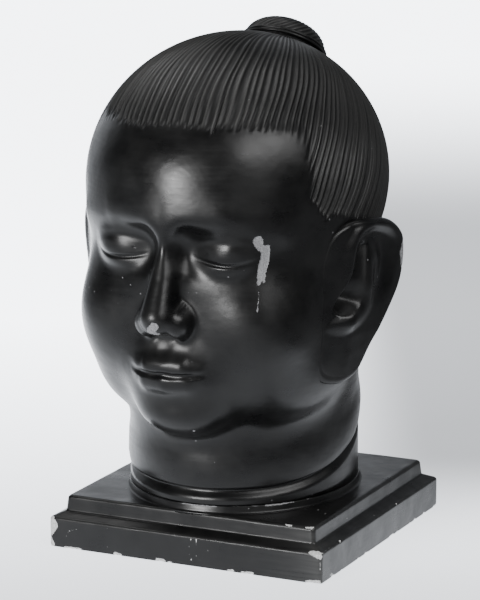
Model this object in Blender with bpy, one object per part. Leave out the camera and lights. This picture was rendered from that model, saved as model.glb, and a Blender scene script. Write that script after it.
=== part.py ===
"""Samurai head sculpture: a carved head with a topknot, cast in one, on a stepped square plinth.

The plinth stands on Z = 0 with its underside's centre at the origin, and the face looks along -Y.
Plinth sizes are in metres. The head is a free form: its shape is written in hundredths of its own
height, from 0 at the chin to 100 at the crown, and scaled by HEAD_HEIGHT.
"""
import math

import bmesh
import bpy
import numpy as np

# Plinth
PLINTH_SIDE = 0.240
SLAB_HEIGHT = 0.0253
STEP_HEIGHT = 0.0159
STEP_FOOT_INSET = 0.0091
STEP_DRAFT = 0.0020
LEDGE_RISE = 0.0028
CORNER_RADIUS = 0.0035
ARRIS_RADIUS = 0.0028
COVE_RADIUS = 0.0020
UNDER_ARRIS = 0.0008
COLLAR_HEIGHT = 0.0059
COLLAR_MARGIN = 0.0009
COLLAR_DRAFT = 0.0007
COLLAR_SIDES = 44
JOINT_GAP = 0.0003

# Head
HEAD_HEIGHT = 0.307
HAIR_FLUTES = 74
FLUTE_DEPTH = 0.0023
KNOT_RADIUS = 0.0345
KNOT_HEIGHT = 0.0225
KNOT_FLUTES = 22
KNOT_FLUTE_DEPTH = 0.0017
BAND_HEIGHT = 0.0036
BAND_PROUD = 0.0013
KNOT_ROOT = 0.012
KNOT_TWIST = 2.0
KNOT_DOME_TURNS = (12.0, 30.0, 48.0, 65.0, 80.0)

# Head masses: centre, half-sizes, turn about Z in degrees and how widely each blends into the rest
CRANIUM = ((0.0, -4.8, 62.4), (38.2, 44.6, 37.6), 0.0, 0.0)
FACE = ((0.0, -14.5, 34.6), (34.2, 31.4, 35.0), 0.0, 14.0)
JAW = ((17.0, -17.0, 17.0), (15.5, 20.5, 15.5), -12.0, 11.0)
CHIN = ((0.0, -35.4, 8.6), (12.5, 11.0, 8.4), 0.0, 10.0)
CHEEK = ((17.0, -30.5, 30.5), (13.5, 13.5, 15.0), 0.0, 11.0)
MUZZLE = ((0.0, -36.5, 19.5), (15.0, 11.6, 12.0), 0.0, 9.0)
SOCKET = ((13.0, -48.8, 50.0), (10.0, 5.6, 5.4), -18.0, 6.0)
INNER_SOCKET = ((6.2, -49.5, 51.0), (3.6, 4.0, 5.0), 0.0, 3.5)
EYEBALL = ((13.5, -38.0, 49.6), (9.2, 7.6, 6.4), -14.0, 1.6)
NOSE_WING = ((4.3, -47.4, 32.4), (3.2, 5.0, 4.2), 8.0, 3.2)
NOSTRIL = ((2.6, -49.4, 28.0), (1.5, 2.4, 1.1), 0.0, 1.0)

# Head ridges: points along each with its radius there, and how widely each blends into the rest
BROW = ((((2.5, -43.4, 57.0), 4.2), ((13.0, -41.6, 58.8), 4.2), ((24.5, -33.6, 56.4), 2.3)), 8.0)
NOSE = ((((0.0, -44.2, 54.0), 2.8), ((0.0, -48.6, 43.0), 3.4), ((0.0, -51.6, 34.2), 4.6)), 5.5)
UPPER_LIP = ((((0.0, -47.4, 21.2), 2.5), ((4.2, -47.2, 21.0), 2.3), ((10.4, -43.4, 19.2), 0.9)), 2.4)
LOWER_LIP = ((((0.0, -46.9, 16.7), 3.0), ((5.0, -46.0, 16.9), 2.7), ((10.2, -43.2, 18.8), 0.9)), 2.2)

# Neck: a slightly pointed oval, with one fold that climbs from the throat to the nape
NECK_HALF_WIDTH = 30.4
NECK_HALF_DEPTH = 32.9
NECK_CENTRE_Y = -2.1
NECK_ROUNDNESS = 1.85
NECK_TOP = 44.0
NECK_TOP_BLEND = 16.0
NECK_BLEND = 5.0
FOLD_THROAT = (-46.0, -16.2)
FOLD_NAPE = (30.0, 0.5)
FOLD_DEPTH = 1.3
FOLD_HALF_WIDTH = 1.5
FOLD_ROLL = 0.5
ROLL_RISE = 6.0
ROLL_HALF_WIDTH = 7.0
FOOT = -18.3

# Hair: it runs from the knot and ends at a straight fringe, a square temple and the nape
FRINGE = 79.8
HAIR_EDGE = (
    (-31.0, 64.0), (-25.0, 56.8), (-15.5, 55.0), (-5.0, 52.0),
    (4.0, 47.0), (13.0, 38.0), (22.0, 29.0), (30.0, 25.0),
)
TEMPLE_Y = -27.5
TEMPLE_SLANT = (16.0, 3.5)
HAIR_FADE = 2.2
GROOVE_SHARPNESS = 1.4
GROOVE_STEEPNESS = 0.45

# Rays: the surface is read along cones of rays from a point inside the head
FAN_Y = -5.0
FAN_Z = 52.0
FAN_REACH = 75.0
SLOPE_STEP = 0.05
KNOT_TILT = 34.9
FIRST_CONE = 9.0
CROWN_CONE = 85.0
FRINGE_CONES = (90.0, 97.0)
LAST_CONE = 104.0
CROWN_ROWS = 8
TEMPLE_ROWS = 2
# Height at the front, at the back and of the rays' origin, and the rows down to the next line
FACE_ROWS = (
    (57.0, 11.2, 50.0, 6),
    (45.0, 10.6, 49.0, 3),
    (33.0, 10.2, 50.0, 4),
    (27.5, 9.8, 48.0, 8),
    (13.0, 8.8, 42.0, 4),
    (2.0, 8.0, 38.0, 2),
    (-2.0, 7.2, 32.0, 1),
    (-8.0, 5.0, 10.0, 1),
)
FOLD_ROWS = (2.6, 1.0, 0.0, -1.2)
FRONT_REACH = 41.0
BACK_REACH = 35.0
FACE_COLUMNS = 54
FACE_CROWDING = 2.4

# Ear: its outline as depth and height, and how it stands off the head
EAR_OUTLINE = (
    (-18.4, 48.5), (-14.4, 53.2), (-7.6, 54.6), (-0.2, 51.5), (3.8, 44.0), (1.5, 34.0),
    (-5.5, 24.0), (-12.5, 15.8), (-19.5, 12.0), (-25.4, 14.6), (-25.6, 25.5), (-20.8, 38.0),
)
EAR_MIDDLE = (-14.5, 35.5)
EAR_OFFSET = 37.0
EAR_FLARE = 0.28
EAR_TUCK_START = -16.0
EAR_TUCK = 0.04
LOBE_TOP = 26.0
LOBE_TUCK = 0.14
EAR_THICKNESS = 3.0
EAR_ROOT = 28.0
EAR_HELIX = 0.8
EAR_BOWL = 4.2
EAR_BOWL_FOOT = 22.0
EAR_HOLLOW = ((37.5, -15.5, 36.5), (5.5, 5.5, 9.5), 0.0, 2.0)
EAR_COLUMNS = 24
EAR_FRONT_ROWS = (0.88, 0.66, 0.45, 0.27, 0.09)

BLACK_PAINT = (0.018, 0.018, 0.019, 1.0)
PAINT_ROUGHNESS = 0.36


def smooth_min(a, b, blend):
    """The lower of two fields, rounded over where they meet."""
    h = np.maximum(blend - np.abs(a - b), 0.0) / blend
    return np.minimum(a, b) - h ** 3 * blend / 6.0


def smooth_max(a, b, blend):
    return -smooth_min(-a, -b, blend)


def hump(x, half):
    """1 in the middle and 0 from half outwards."""
    return (1.0 - np.clip(np.abs(x) / half, 0.0, 1.0) ** 2) ** 2


def ellipsoid(p, mass):
    """Distance to a mass, an ellipsoid turned about Z."""
    centre, half_sizes, yaw, _ = mass
    q = p - np.array(centre)
    c, s = math.cos(math.radians(yaw)), math.sin(math.radians(yaw))
    q = np.stack([c * q[:, 0] + s * q[:, 1], -s * q[:, 0] + c * q[:, 1], q[:, 2]], 1)
    half = np.array(half_sizes)
    k0 = np.linalg.norm(q / half, axis=1)
    k1 = np.linalg.norm(q / half ** 2, axis=1)
    return k0 * (k0 - 1.0) / np.maximum(k1, 1e-9)


def ridge(p, line):
    """Distance to round cones strung along a line of points."""
    nearest = np.full(len(p), np.inf)
    for (a, radius_a), (b, radius_b) in zip(line, line[1:]):
        start, run = np.array(a), np.array(b) - np.array(a)
        t = np.clip(((p - start) @ run) / (run @ run), 0.0, 1.0)
        away = np.linalg.norm(p - start - t[:, None] * run, axis=1)
        nearest = np.minimum(nearest, away - radius_a - (radius_b - radius_a) * t)
    return nearest


def fold_height(y):
    """Height of the neck's fold, which climbs towards the nape."""
    return np.interp(y, (FOLD_THROAT[0], FOLD_NAPE[0]), (FOLD_THROAT[1], FOLD_NAPE[1]))


def neck_field(p):
    x = np.abs(p[:, 0]) / NECK_HALF_WIDTH
    y = np.abs(p[:, 1] - NECK_CENTRE_Y) / NECK_HALF_DEPTH
    n = NECK_ROUNDNESS
    field = ((x ** n + y ** n) ** (1.0 / n) - 1.0) * NECK_HALF_WIDTH
    above = p[:, 2] - fold_height(p[:, 1])
    field = field + FOLD_DEPTH * hump(above, FOLD_HALF_WIDTH)
    field = field - FOLD_ROLL * hump(above - ROLL_RISE, ROLL_HALF_WIDTH)
    return smooth_max(field, p[:, 2] - NECK_TOP, NECK_TOP_BLEND)


def add_mass(field, p, mass):
    return smooth_min(field, ellipsoid(p, mass), mass[3])


def sink_mass(field, p, mass):
    return smooth_max(field, -ellipsoid(p, mass), mass[3])


def add_ridge(field, p, line):
    return smooth_min(field, ridge(p, line[0]), line[1])


def head_field(p):
    """Below 0 inside the head, above 0 outside it. The head is its own mirror image in X."""
    m = np.stack([np.abs(p[:, 0]), p[:, 1], p[:, 2]], 1)
    field = ellipsoid(m, CRANIUM)
    for mass in (FACE, JAW, CHIN, CHEEK, MUZZLE):
        field = add_mass(field, m, mass)
    field = smooth_min(field, neck_field(m), NECK_BLEND)
    field = add_ridge(field, m, BROW)
    field = sink_mass(field, m, SOCKET)
    field = add_ridge(field, m, NOSE)
    field = sink_mass(field, m, INNER_SOCKET)
    field = add_mass(field, m, NOSE_WING)
    field = sink_mass(field, m, NOSTRIL)
    field = add_mass(field, m, EYEBALL)
    field = add_ridge(field, m, UPPER_LIP)
    field = add_ridge(field, m, LOWER_LIP)
    return sink_mass(field, m, EAR_HOLLOW)


def normals(p):
    """Outward direction of the field at each point."""
    slope = [head_field(p + SLOPE_STEP * e) - head_field(p - SLOPE_STEP * e) for e in np.eye(3)]
    slope = np.stack(slope, 1)
    return slope / np.maximum(np.linalg.norm(slope, axis=1, keepdims=True), 1e-9)


def cast(tilt, half_angle, origin_z, angles):
    """Outermost points of the head on one cone of rays, marched in from outside and then halved."""
    t, a = math.radians(tilt), math.radians(half_angle)
    axis = np.array([0.0, math.sin(t), math.cos(t)])
    fore = np.array([0.0, -math.cos(t), math.sin(t)])
    across = np.cos(angles)[:, None] * fore + np.sin(angles)[:, None] * np.array([1.0, 0.0, 0.0])
    way = math.cos(a) * axis + math.sin(a) * across
    origin = np.array([0.0, FAN_Y, origin_z])
    out = np.full(len(angles), FAN_REACH)
    for _ in range(30):
        out = out - 0.8 * np.maximum(head_field(origin + way * out[:, None]), 0.0)
    near, far = out - 1.5, out + 0.3
    for _ in range(12):
        middle = (near + far) / 2
        inside = head_field(origin + way * middle[:, None]) < 0.0
        near, far = np.where(inside, middle, near), np.where(inside, far, middle)
    return origin + way * middle[:, None]


def hair_depth(p):
    """How far inside the hair's edge a point is."""
    fall, run = TEMPLE_SLANT
    behind = p[:, 1] - TEMPLE_Y + run * np.clip((FRINGE - p[:, 2]) / fall, 0.0, 1.0)
    edge = np.interp(p[:, 1], [q[0] for q in HAIR_EDGE], [q[1] for q in HAIR_EDGE])
    side = np.minimum(behind, p[:, 2] - edge)
    return np.maximum(p[:, 2] - FRINGE, side)


def carve_hair(p, from_groove, spacing, depth):
    """Sinks the grooves between the locks. from_groove is 0 in a groove and 1 on a lock."""
    fade = np.clip(hair_depth(p) / HAIR_FADE, 0.0, 1.0)
    full = np.minimum(depth, GROOVE_STEEPNESS * spacing)
    cut = full * np.maximum((1.0 - from_groove) ** GROOVE_SHARPNESS - (1.0 - fade), 0.0)
    return p - normals(p) * cut[:, None]


def face_angles():
    """Columns round the face and neck, crowded towards the nose."""
    share = np.arange(1, FACE_COLUMNS // 2) / (FACE_COLUMNS // 2)
    right = math.pi * np.sinh(FACE_CROWDING * share) / math.sinh(FACE_CROWDING)
    return np.concatenate([[0.0], right, [math.pi], 2.0 * math.pi - right[::-1]])


def hair_rings():
    """Rings from the knot to below the hair's edge, with a column in each groove and on each lock."""
    count = 2 * HAIR_FLUTES
    angles = np.arange(count) * 2.0 * math.pi / count
    from_groove = np.arange(count) % 2
    cones = list(np.linspace(FIRST_CONE, CROWN_CONE, CROWN_ROWS + 1)) + list(FRINGE_CONES) + [LAST_CONE]
    rings = []
    for half_angle in cones:
        points = cast(KNOT_TILT, half_angle, FAN_Z, angles)
        gap = np.linalg.norm(points - np.roll(points, 1, 0), axis=1).mean()
        points = carve_hair(points, from_groove, 2 * gap, FLUTE_DEPTH / HEAD_HEIGHT * 100.0)
        rings.append((angles, points))
    return rings


def cone_through(front, back, origin):
    """Tilt, half-angle and origin of the cone that meets the front and the back at those heights."""
    down_front = math.degrees(math.atan2(origin - front, FRONT_REACH))
    down_back = math.degrees(math.atan2(origin - back, BACK_REACH))
    return (down_back - down_front) / 2, 90.0 + (down_back + down_front) / 2, origin


def cone_rows():
    """Cones from the forehead to the throat, then along the neck's fold, then the foot."""
    first_front = FAN_Z + FRONT_REACH * math.tan(math.radians(90.0 - LAST_CONE + KNOT_TILT))
    first_back = FAN_Z + BACK_REACH * math.tan(math.radians(90.0 - LAST_CONE - KNOT_TILT))
    keys = ((first_front, first_back, FAN_Z, TEMPLE_ROWS),) + FACE_ROWS
    rows = []
    for upper, lower in zip(keys, keys[1:]):
        for step in range(upper[3]):
            share = step / upper[3]
            rows.append([upper[k] + (lower[k] - upper[k]) * share for k in range(3)])
    rows.append(FACE_ROWS[-1][:3])
    for rise in FOLD_ROWS:
        heights = [fold_height(y) + rise for y in (FAN_Y - FRONT_REACH, FAN_Y + BACK_REACH, FAN_Y)]
        rows.append(heights)
    rows.append((FOOT, FOOT, FOOT))
    return [cone_through(*row) for row in rows]


def face_rings():
    angles = face_angles()
    rings = []
    for row in cone_rows()[1:]:
        rings.append((angles, cast(*row, angles)))
    return rings


def stitch(faces, points, upper_start, upper, lower_start, lower):
    """Triangles between two rings, which may differ in their columns. Squares take their short diagonal."""
    i, j = 0, 0
    upper = np.append(upper, 2.0 * math.pi)
    lower = np.append(lower, 2.0 * math.pi)
    around, below = len(upper) - 1, len(lower) - 1
    while i < around or j < below:
        a, b = upper_start + i % around, lower_start + j % below
        after_a, after_b = upper_start + (i + 1) % around, lower_start + (j + 1) % below
        lead = lower[min(j + 1, below)] - upper[min(i + 1, around)]
        if abs(lead) < 1e-9 and i < around and j < below:
            lead = np.linalg.norm(points[a] - points[after_b]) - np.linalg.norm(points[b] - points[after_a])
        if j >= below or (i < around and lead > 0.0):
            faces.append((a, b, after_a))
            i += 1
        else:
            faces.append((a, b, after_b))
            j += 1


def loft(name, rings):
    """Closed mesh through rings of (angles, points), top to bottom, with flat ends."""
    points = np.concatenate([ring[1] for ring in rings])
    starts = np.cumsum([0] + [len(ring[0]) for ring in rings])
    faces = [tuple(range(len(rings[0][0])))]
    for k, (upper, lower) in enumerate(zip(rings, rings[1:])):
        stitch(faces, points, starts[k], upper[0], starts[k + 1], lower[0])
    faces.append(tuple(range(starts[-1] - 1, starts[-2] - 1, -1)))
    return solid(name, points, faces)


def solid(name, points, faces):
    """Object from points and faces, with its faces turned outwards."""
    mesh = bpy.data.meshes.new(name)
    mesh.from_pydata(np.asarray(points).tolist(), [], faces)
    work = bmesh.new()
    work.from_mesh(mesh)
    bmesh.ops.recalc_face_normals(work, faces=work.faces)
    work.to_mesh(mesh)
    work.free()
    made = bpy.data.objects.new(name, mesh)
    bpy.context.scene.collection.objects.link(made)
    return made


def head_to_world(p):
    """From hundredths of the head's height to metres, with the neck's foot on the plinth's collar."""
    foot_z = SLAB_HEIGHT + STEP_HEIGHT + COLLAR_HEIGHT + JOINT_GAP
    scale = HEAD_HEIGHT / 100.0
    return np.asarray(p) * scale + np.array([0.0, 0.0, foot_z - FOOT * scale])


def knot_frame():
    """Where the knot sits on the crown, and its own axes."""
    seat = cast(KNOT_TILT, 0.01, FAN_Z, np.array([0.0]))[0]
    t = math.radians(KNOT_TILT)
    return seat, np.array([1.0, 0.0, 0.0]), np.array([0.0, math.cos(t), -math.sin(t)]), \
        np.array([0.0, math.sin(t), math.cos(t)])


def knot_profile():
    """Radius and height of each ring of the knot, and how deep its grooves are there."""
    profile = [(KNOT_RADIUS, -KNOT_ROOT, 0.0), (KNOT_RADIUS + BAND_PROUD, -KNOT_ROOT / 2, 0.0)]
    profile.append((KNOT_RADIUS + BAND_PROUD, BAND_HEIGHT * 0.75, 0.0))
    profile.append((KNOT_RADIUS - BAND_PROUD, BAND_HEIGHT, 0.0))
    for turn in KNOT_DOME_TURNS:
        a = math.radians(turn)
        radius = KNOT_RADIUS * math.cos(a) ** 0.8
        height = BAND_HEIGHT + (KNOT_HEIGHT - BAND_HEIGHT) * math.sin(a)
        profile.append((radius, height, KNOT_FLUTE_DEPTH * math.cos(a) ** 0.5))
    return profile


def knot(name):
    """Topknot: a coiled dome with spiral grooves, over a cord."""
    seat, across, along, up = knot_frame()
    seat = head_to_world(seat)
    count = 2 * KNOT_FLUTES
    angles = np.arange(count) * 2.0 * math.pi / count
    rings = []
    for radius, height, groove in reversed(knot_profile()):
        twist = KNOT_TWIST * max(height, 0.0) / KNOT_HEIGHT
        reach = radius - groove * (np.arange(count) % 2)
        flat = np.cos(angles + twist)[:, None] * across + np.sin(angles + twist)[:, None] * along
        rings.append((angles, seat + flat * reach[:, None] + up * height))
    return loft(name, rings)


def closed_curve(points, count):
    """Evenly counted points on a smooth closed curve through the given ones."""
    p = np.array(points)
    at = np.arange(count) * len(p) / count
    i = np.floor(at).astype(int)
    t = (at - i)[:, None]
    a, b, c, d = (p[(i + k) % len(p)] for k in (-1, 0, 1, 2))
    return 0.5 * (2 * b + (c - a) * t + (2 * a - 5 * b + 4 * c - d) * t ** 2 + (3 * b - a - 3 * c + d) * t ** 3)


def ear_face(y, z, inward):
    """How far the ear's outer face stands from the middle plane. inward runs from 0 at the rim to 1."""
    plate = EAR_OFFSET + EAR_FLARE * (y + 20.0) - LOBE_TUCK * np.maximum(LOBE_TOP - z, 0.0)
    plate = plate - EAR_TUCK * np.maximum(EAR_TUCK_START - y, 0.0) ** 2
    above_lobe = np.clip((z - EAR_BOWL_FOOT) / 10.0, 0.0, 1.0)
    helix = EAR_HELIX * hump(inward - 0.12, 0.2) * above_lobe
    bowl = EAR_BOWL * hump(1.0 - inward, 0.85) * above_lobe
    return plate + helix - bowl


def ear(name, side):
    """One ear: a rolled rim round a bowl, with a long lobe, thick enough to root in the head."""
    outline = closed_curve(EAR_OUTLINE, EAR_COLUMNS)
    middle = np.array(EAR_MIDDLE)
    angles = np.arange(EAR_COLUMNS) * 2.0 * math.pi / EAR_COLUMNS
    rings = []
    for inward in EAR_FRONT_ROWS:
        yz = outline + (middle - outline) * inward
        rings.append((angles, np.column_stack([ear_face(yz[:, 0], yz[:, 1], inward), yz])))
    rim = ear_face(outline[:, 0], outline[:, 1], 0.0)
    rings.append((angles, np.column_stack([rim - 0.5 * EAR_THICKNESS, outline])))
    for inward, share in ((0.10, 1.0), (0.45, 0.0)):
        yz = outline + (middle - outline) * inward
        back = ear_face(yz[:, 0], yz[:, 1], 0.0) - EAR_THICKNESS
        rings.append((angles, np.column_stack([back * share + EAR_ROOT * (1.0 - share), yz])))
    placed = [(a, head_to_world(p * np.array([side, 1.0, 1.0]))) for a, p in rings]
    return loft(name, placed)


def unite(base, others):
    """Exact union of the others into the base, applied, and the others removed."""
    bpy.context.view_layer.objects.active = base
    for other in others:
        union = base.modifiers.new("union", "BOOLEAN")
        union.operation = "UNION"
        union.solver = "EXACT"
        union.object = other
        bpy.ops.object.modifier_apply(modifier=union.name)
        bpy.data.objects.remove(other)


def triangulate(target):
    work = bmesh.new()
    work.from_mesh(target.data)
    bmesh.ops.triangulate(work, faces=work.faces)
    work.to_mesh(target.data)
    work.free()


def head():
    rings = [(angles, head_to_world(points)) for angles, points in hair_rings() + face_rings()]
    made = loft("head", rings)
    unite(made, [ear("left_ear", 1.0), ear("right_ear", -1.0), knot("knot")])
    triangulate(made)
    return made


def rounded_square(half, radius, z):
    """Ring of points round a square with rounded corners."""
    centre = half - radius
    points = []
    for quarter in range(4):
        for step in range(3):
            a = math.pi / 4 * step + math.pi / 2 * quarter
            corner = math.pi / 4 + math.pi / 2 * quarter
            x = centre * math.sqrt(2.0) * math.cos(corner) + radius * math.cos(a)
            y = centre * math.sqrt(2.0) * math.sin(corner) + radius * math.sin(a)
            points.append((x, y, z))
    return np.array(points)


def plinth_profile():
    """Half-size and height from the underside to the top of the step."""
    half = PLINTH_SIDE / 2
    step_half = half - STEP_FOOT_INSET
    top = SLAB_HEIGHT + STEP_HEIGHT
    ledge = SLAB_HEIGHT + LEDGE_RISE
    a = ARRIS_RADIUS
    bend = a * (1.0 - math.sqrt(0.5))
    return [
        (half - UNDER_ARRIS, 0.0),
        (half, UNDER_ARRIS),
        (half, SLAB_HEIGHT - a),
        (half - bend, SLAB_HEIGHT - bend),
        (half - a, SLAB_HEIGHT),
        (step_half + COVE_RADIUS, ledge),
        (step_half, ledge + COVE_RADIUS),
        (step_half - STEP_DRAFT, top - a),
        (step_half - STEP_DRAFT - bend, top - bend),
        (step_half - STEP_DRAFT - a, top),
    ]


def neck_outline(margin, count):
    """The neck's oval at its foot, in metres, widened by a margin."""
    scale = HEAD_HEIGHT / 100.0
    a = np.arange(count) * 2.0 * math.pi / count
    power = 2.0 / NECK_ROUNDNESS
    x = np.sign(np.cos(a)) * np.abs(np.cos(a)) ** power * (NECK_HALF_WIDTH * scale + margin)
    y = np.sign(np.sin(a)) * np.abs(np.sin(a)) ** power * (NECK_HALF_DEPTH * scale + margin)
    return x, y + NECK_CENTRE_Y * scale


def collar(name):
    """Low oval riser that the neck stands on."""
    top = SLAB_HEIGHT + STEP_HEIGHT
    angles = np.arange(COLLAR_SIDES) * 2.0 * math.pi / COLLAR_SIDES
    rings = []
    for margin, z in (
        (COLLAR_MARGIN, top + COLLAR_HEIGHT),
        (COLLAR_MARGIN + COLLAR_DRAFT, top),
        (COLLAR_MARGIN + COLLAR_DRAFT, top - STEP_HEIGHT / 2),
    ):
        x, y = neck_outline(margin, COLLAR_SIDES)
        rings.append((angles, np.column_stack([x, y, np.full(COLLAR_SIDES, z)])))
    return loft(name, rings)


def plinth():
    angles = np.arange(12) * 2.0 * math.pi / 12
    rings = [(angles, rounded_square(half, CORNER_RADIUS, z)) for half, z in reversed(plinth_profile())]
    made = loft("plinth", rings)
    unite(made, [collar("collar")])
    triangulate(made)
    return made


def paint(target, name):
    """Satin black paint."""
    material = bpy.data.materials.new(name)
    material.use_nodes = True
    shader = material.node_tree.nodes["Principled BSDF"]
    shader.inputs["Base Color"].default_value = BLACK_PAINT
    shader.inputs["Roughness"].default_value = PAINT_ROUGHNESS
    shader.inputs["Metallic"].default_value = 0.0
    target.data.materials.clear()
    target.data.materials.append(material)


def main():
    for old in list(bpy.data.objects):
        bpy.data.objects.remove(old)
    paint(plinth(), "plinth_paint")
    paint(head(), "head_paint")


main()
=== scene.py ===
"""Looks for the samurai head sculpture: finely carved head and plinth in chipped satin black paint.

The head's form is the solid's own, written in hundredths of the head's height from 0 at the chin to
100 at the crown. The meshes here carry it with finer hair, face, ears, knot, edges and chips.
"""

import math

import bmesh
import bpy
import numpy as np
from mathutils import Matrix, Vector


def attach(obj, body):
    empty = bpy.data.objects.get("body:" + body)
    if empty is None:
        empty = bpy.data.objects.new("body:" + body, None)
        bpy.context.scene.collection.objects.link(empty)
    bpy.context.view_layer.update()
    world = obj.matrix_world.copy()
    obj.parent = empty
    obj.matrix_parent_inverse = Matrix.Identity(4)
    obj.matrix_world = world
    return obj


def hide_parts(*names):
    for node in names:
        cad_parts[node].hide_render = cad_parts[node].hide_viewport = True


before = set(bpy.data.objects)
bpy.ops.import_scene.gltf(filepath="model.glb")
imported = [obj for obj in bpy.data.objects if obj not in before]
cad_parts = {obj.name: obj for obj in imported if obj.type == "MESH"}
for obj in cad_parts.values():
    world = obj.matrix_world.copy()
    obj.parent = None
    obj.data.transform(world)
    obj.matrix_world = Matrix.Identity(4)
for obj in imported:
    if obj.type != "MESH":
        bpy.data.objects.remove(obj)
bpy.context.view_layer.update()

# Plinth, in metres
PLINTH_SIDE = 0.240
SLAB_HEIGHT = 0.0253
STEP_HEIGHT = 0.0159
STEP_TOP = SLAB_HEIGHT + STEP_HEIGHT
STEP_FOOT_INSET = 0.0098
STEP_DRAFT = 0.0009
LEDGE_RISE = 0.0028
CORNER_RADIUS = 0.0035
ARRIS_RADIUS = 0.0028
COVE_RADIUS = 0.0020
UNDER_ARRIS = 0.0008
COLLAR_HEIGHT = 0.0059
COLLAR_MARGIN = 0.0009
COLLAR_DRAFT = 0.0007
JOINT_GAP = 0.0003
PLINTH_COLUMNS_PER_SIDE = 150
PLINTH_ROW_PITCH = 0.0011
COLLAR_COLUMNS = 240
CORNER_STEPS = 6
TOP_SHARES = (0.985, 0.96, 0.9, 0.8, 0.65)
COLLAR_ARRIS = 0.0006
COLLAR_WAIST = 0.0022
COLLAR_FILLET = 0.0014
COLLAR_OVERLAP = 0.012
COLLAR_ROOT = 0.002
# Unevenness of the plinth's faces: size, height, least sink, and the height over which it starts
UNEVEN_SIZE = 0.045
UNEVEN_HEIGHT = 0.00018
UNEVEN_SINK = 0.0001
UNEVEN_START = 0.002
UNEVEN_EASE = 0.004

# Head, in metres
HEAD_HEIGHT = 0.307
HUNDREDTH = HEAD_HEIGHT / 100.0
GROOVE_DEPTH = 0.0025

# Knot and cords, in metres and degrees
KNOT_RADIUS = 0.0345
KNOT_HEIGHT = 0.0225
KNOT_GROOVE_DEPTH = 0.0013
KNOT_INSET = 0.0004
KNOT_TILT = 34.9
KNOT_GROOVES = 38
KNOT_COLUMNS_PER_GROOVE = 6
KNOT_TWIST = 0.8
KNOT_SEED = 5
KNOT_LOCKS = (0.75, 1.15)
KNOT_TURNS = (88.0, 85.0, *np.arange(81.0, 2.0, -2.6), 0.0)
# How full the dome is, how soon its grooves fade to its top, and how much the paint on the locks is
# lightened, a painted highlight
KNOT_FULLNESS = 0.8
KNOT_FADE = 0.55
KNOT_HIGHLIGHT = 0.8
# Inset and height of the two rings under the dome
KNOT_ROOT = ((0.0015, 0.0005), (0.002, -0.012))
CORD_RADIUS = 0.0013
CORD_COLUMNS = 220
CORD_SIDES = 10
# How far each cord's middle is outside the knot, its height in radii, and the height of the knot's foot
CORDS = ((0.0002, 1.9), (0.0009, -0.2))
CORDS_RISE = 2.2

# Head masses: centre, half-sizes, turn about Z in degrees and how widely each blends into the rest
CRANIUM = ((0.0, -4.8, 62.4), (38.2, 44.6, 37.6), 0.0, 0.0)
FACE = ((0.0, -14.5, 34.6), (34.2, 31.4, 35.0), 0.0, 14.0)
JAW = ((17.0, -17.0, 17.0), (15.5, 20.5, 15.5), -12.0, 11.0)
CHIN = ((0.0, -35.4, 8.6), (12.5, 11.0, 8.4), 0.0, 10.0)
CHEEK = ((17.0, -30.5, 30.5), (13.5, 13.5, 15.0), 0.0, 11.0)
MUZZLE = ((0.0, -36.5, 19.5), (15.0, 11.6, 12.0), 0.0, 9.0)
SOCKET = ((13.0, -48.8, 50.0), (10.5, 5.2, 5.8), -18.0, 7.0)
INNER_SOCKET = ((6.2, -49.5, 51.0), (3.8, 3.8, 5.2), 0.0, 4.5)
NOSE_WING = ((4.3, -47.4, 32.4), (3.2, 5.0, 4.2), 8.0, 3.2)
NOSTRIL = ((2.7, -49.6, 27.9), (1.6, 2.6, 1.2), 0.0, 1.6)
EAR_HOLLOW = ((38.5, -16.2, 37.5), (13.5, 7.6, 14.5), 0.0, 0.8)
MIRROR_EASE = 0.8

# Head ridges: points along each with its radius there, and how widely each blends into the rest
BROW = ((((2.5, -43.4, 57.0), 4.2), ((13.0, -41.6, 58.8), 4.2), ((24.5, -33.6, 56.4), 2.3)), 8.0)
NOSE = ((((0.0, -44.2, 54.0), 2.8), ((0.0, -48.6, 43.0), 3.4), ((0.0, -51.6, 34.2), 4.6)), 5.5)
UPPER_LIP = ((((0.0, -47.2, 21.1), 2.6), ((4.2, -47.0, 20.9), 2.4), ((10.4, -43.2, 19.3), 1.0)), 3.6)
LOWER_LIP = ((((0.0, -46.7, 16.8), 3.0), ((5.0, -45.8, 17.0), 2.7), ((10.2, -43.0, 18.8), 1.0)), 3.4)

# Lines of the face: depth, middle and half-width across, height, curve and its middle, and half-height
FACE_LINES = (
    (0.60, 14.0, 9.0, 47.0, 1.5, 13.8, 0.9),
    (-0.18, 14.0, 9.0, 45.4, 1.5, 13.8, 1.4),
    (0.22, 14.0, 9.0, 53.4, -1.6, 13.4, 1.5),
    (0.28, 0.0, 2.6, 25.0, 0.0, 0.0, 4.0),
    (0.55, 0.0, 11.0, 11.0, 0.0, 0.0, 4.6),
)
LINE_SPREAD = 7.6
# Rounds of the face, eyelid and mouth corner: depth, middle across and up, and half-sizes
FACE_ROUNDS = ((-2.3, 14.0, 49.6, 10.5, 7.4), (0.35, 11.2, 18.9, 3.4, 3.4))
FACE_FRONT = -25.0
FACE_EASE = 2.0
MOUTH_DEPTH = 0.70
MOUTH_HEIGHT = 18.9
MOUTH_HALF_HEIGHT = 1.2
MOUTH_HALF_WIDTH = 10.5
MOUTH_END = 11.0
MOUTH_FADE = 3.5
MOUTH_CURL = 0.35
MOUTH_BOW = 0.15
BOW_PITCH = 0.95
BOW_HALF_WIDTH = 6.0
# Fold from the nose's wing: depth, half-width, place at its top, slant, and top and foot with their fades
CHEEK_FOLD = 0.15
CHEEK_FOLD_HALF_WIDTH = 3.6
CHEEK_FOLD_PLACE = (7.6, 30.0)
CHEEK_FOLD_SLANT = 0.42
CHEEK_FOLD_TOP = (31.5, 3.0)
CHEEK_FOLD_FOOT = (17.0, 4.0)

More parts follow.
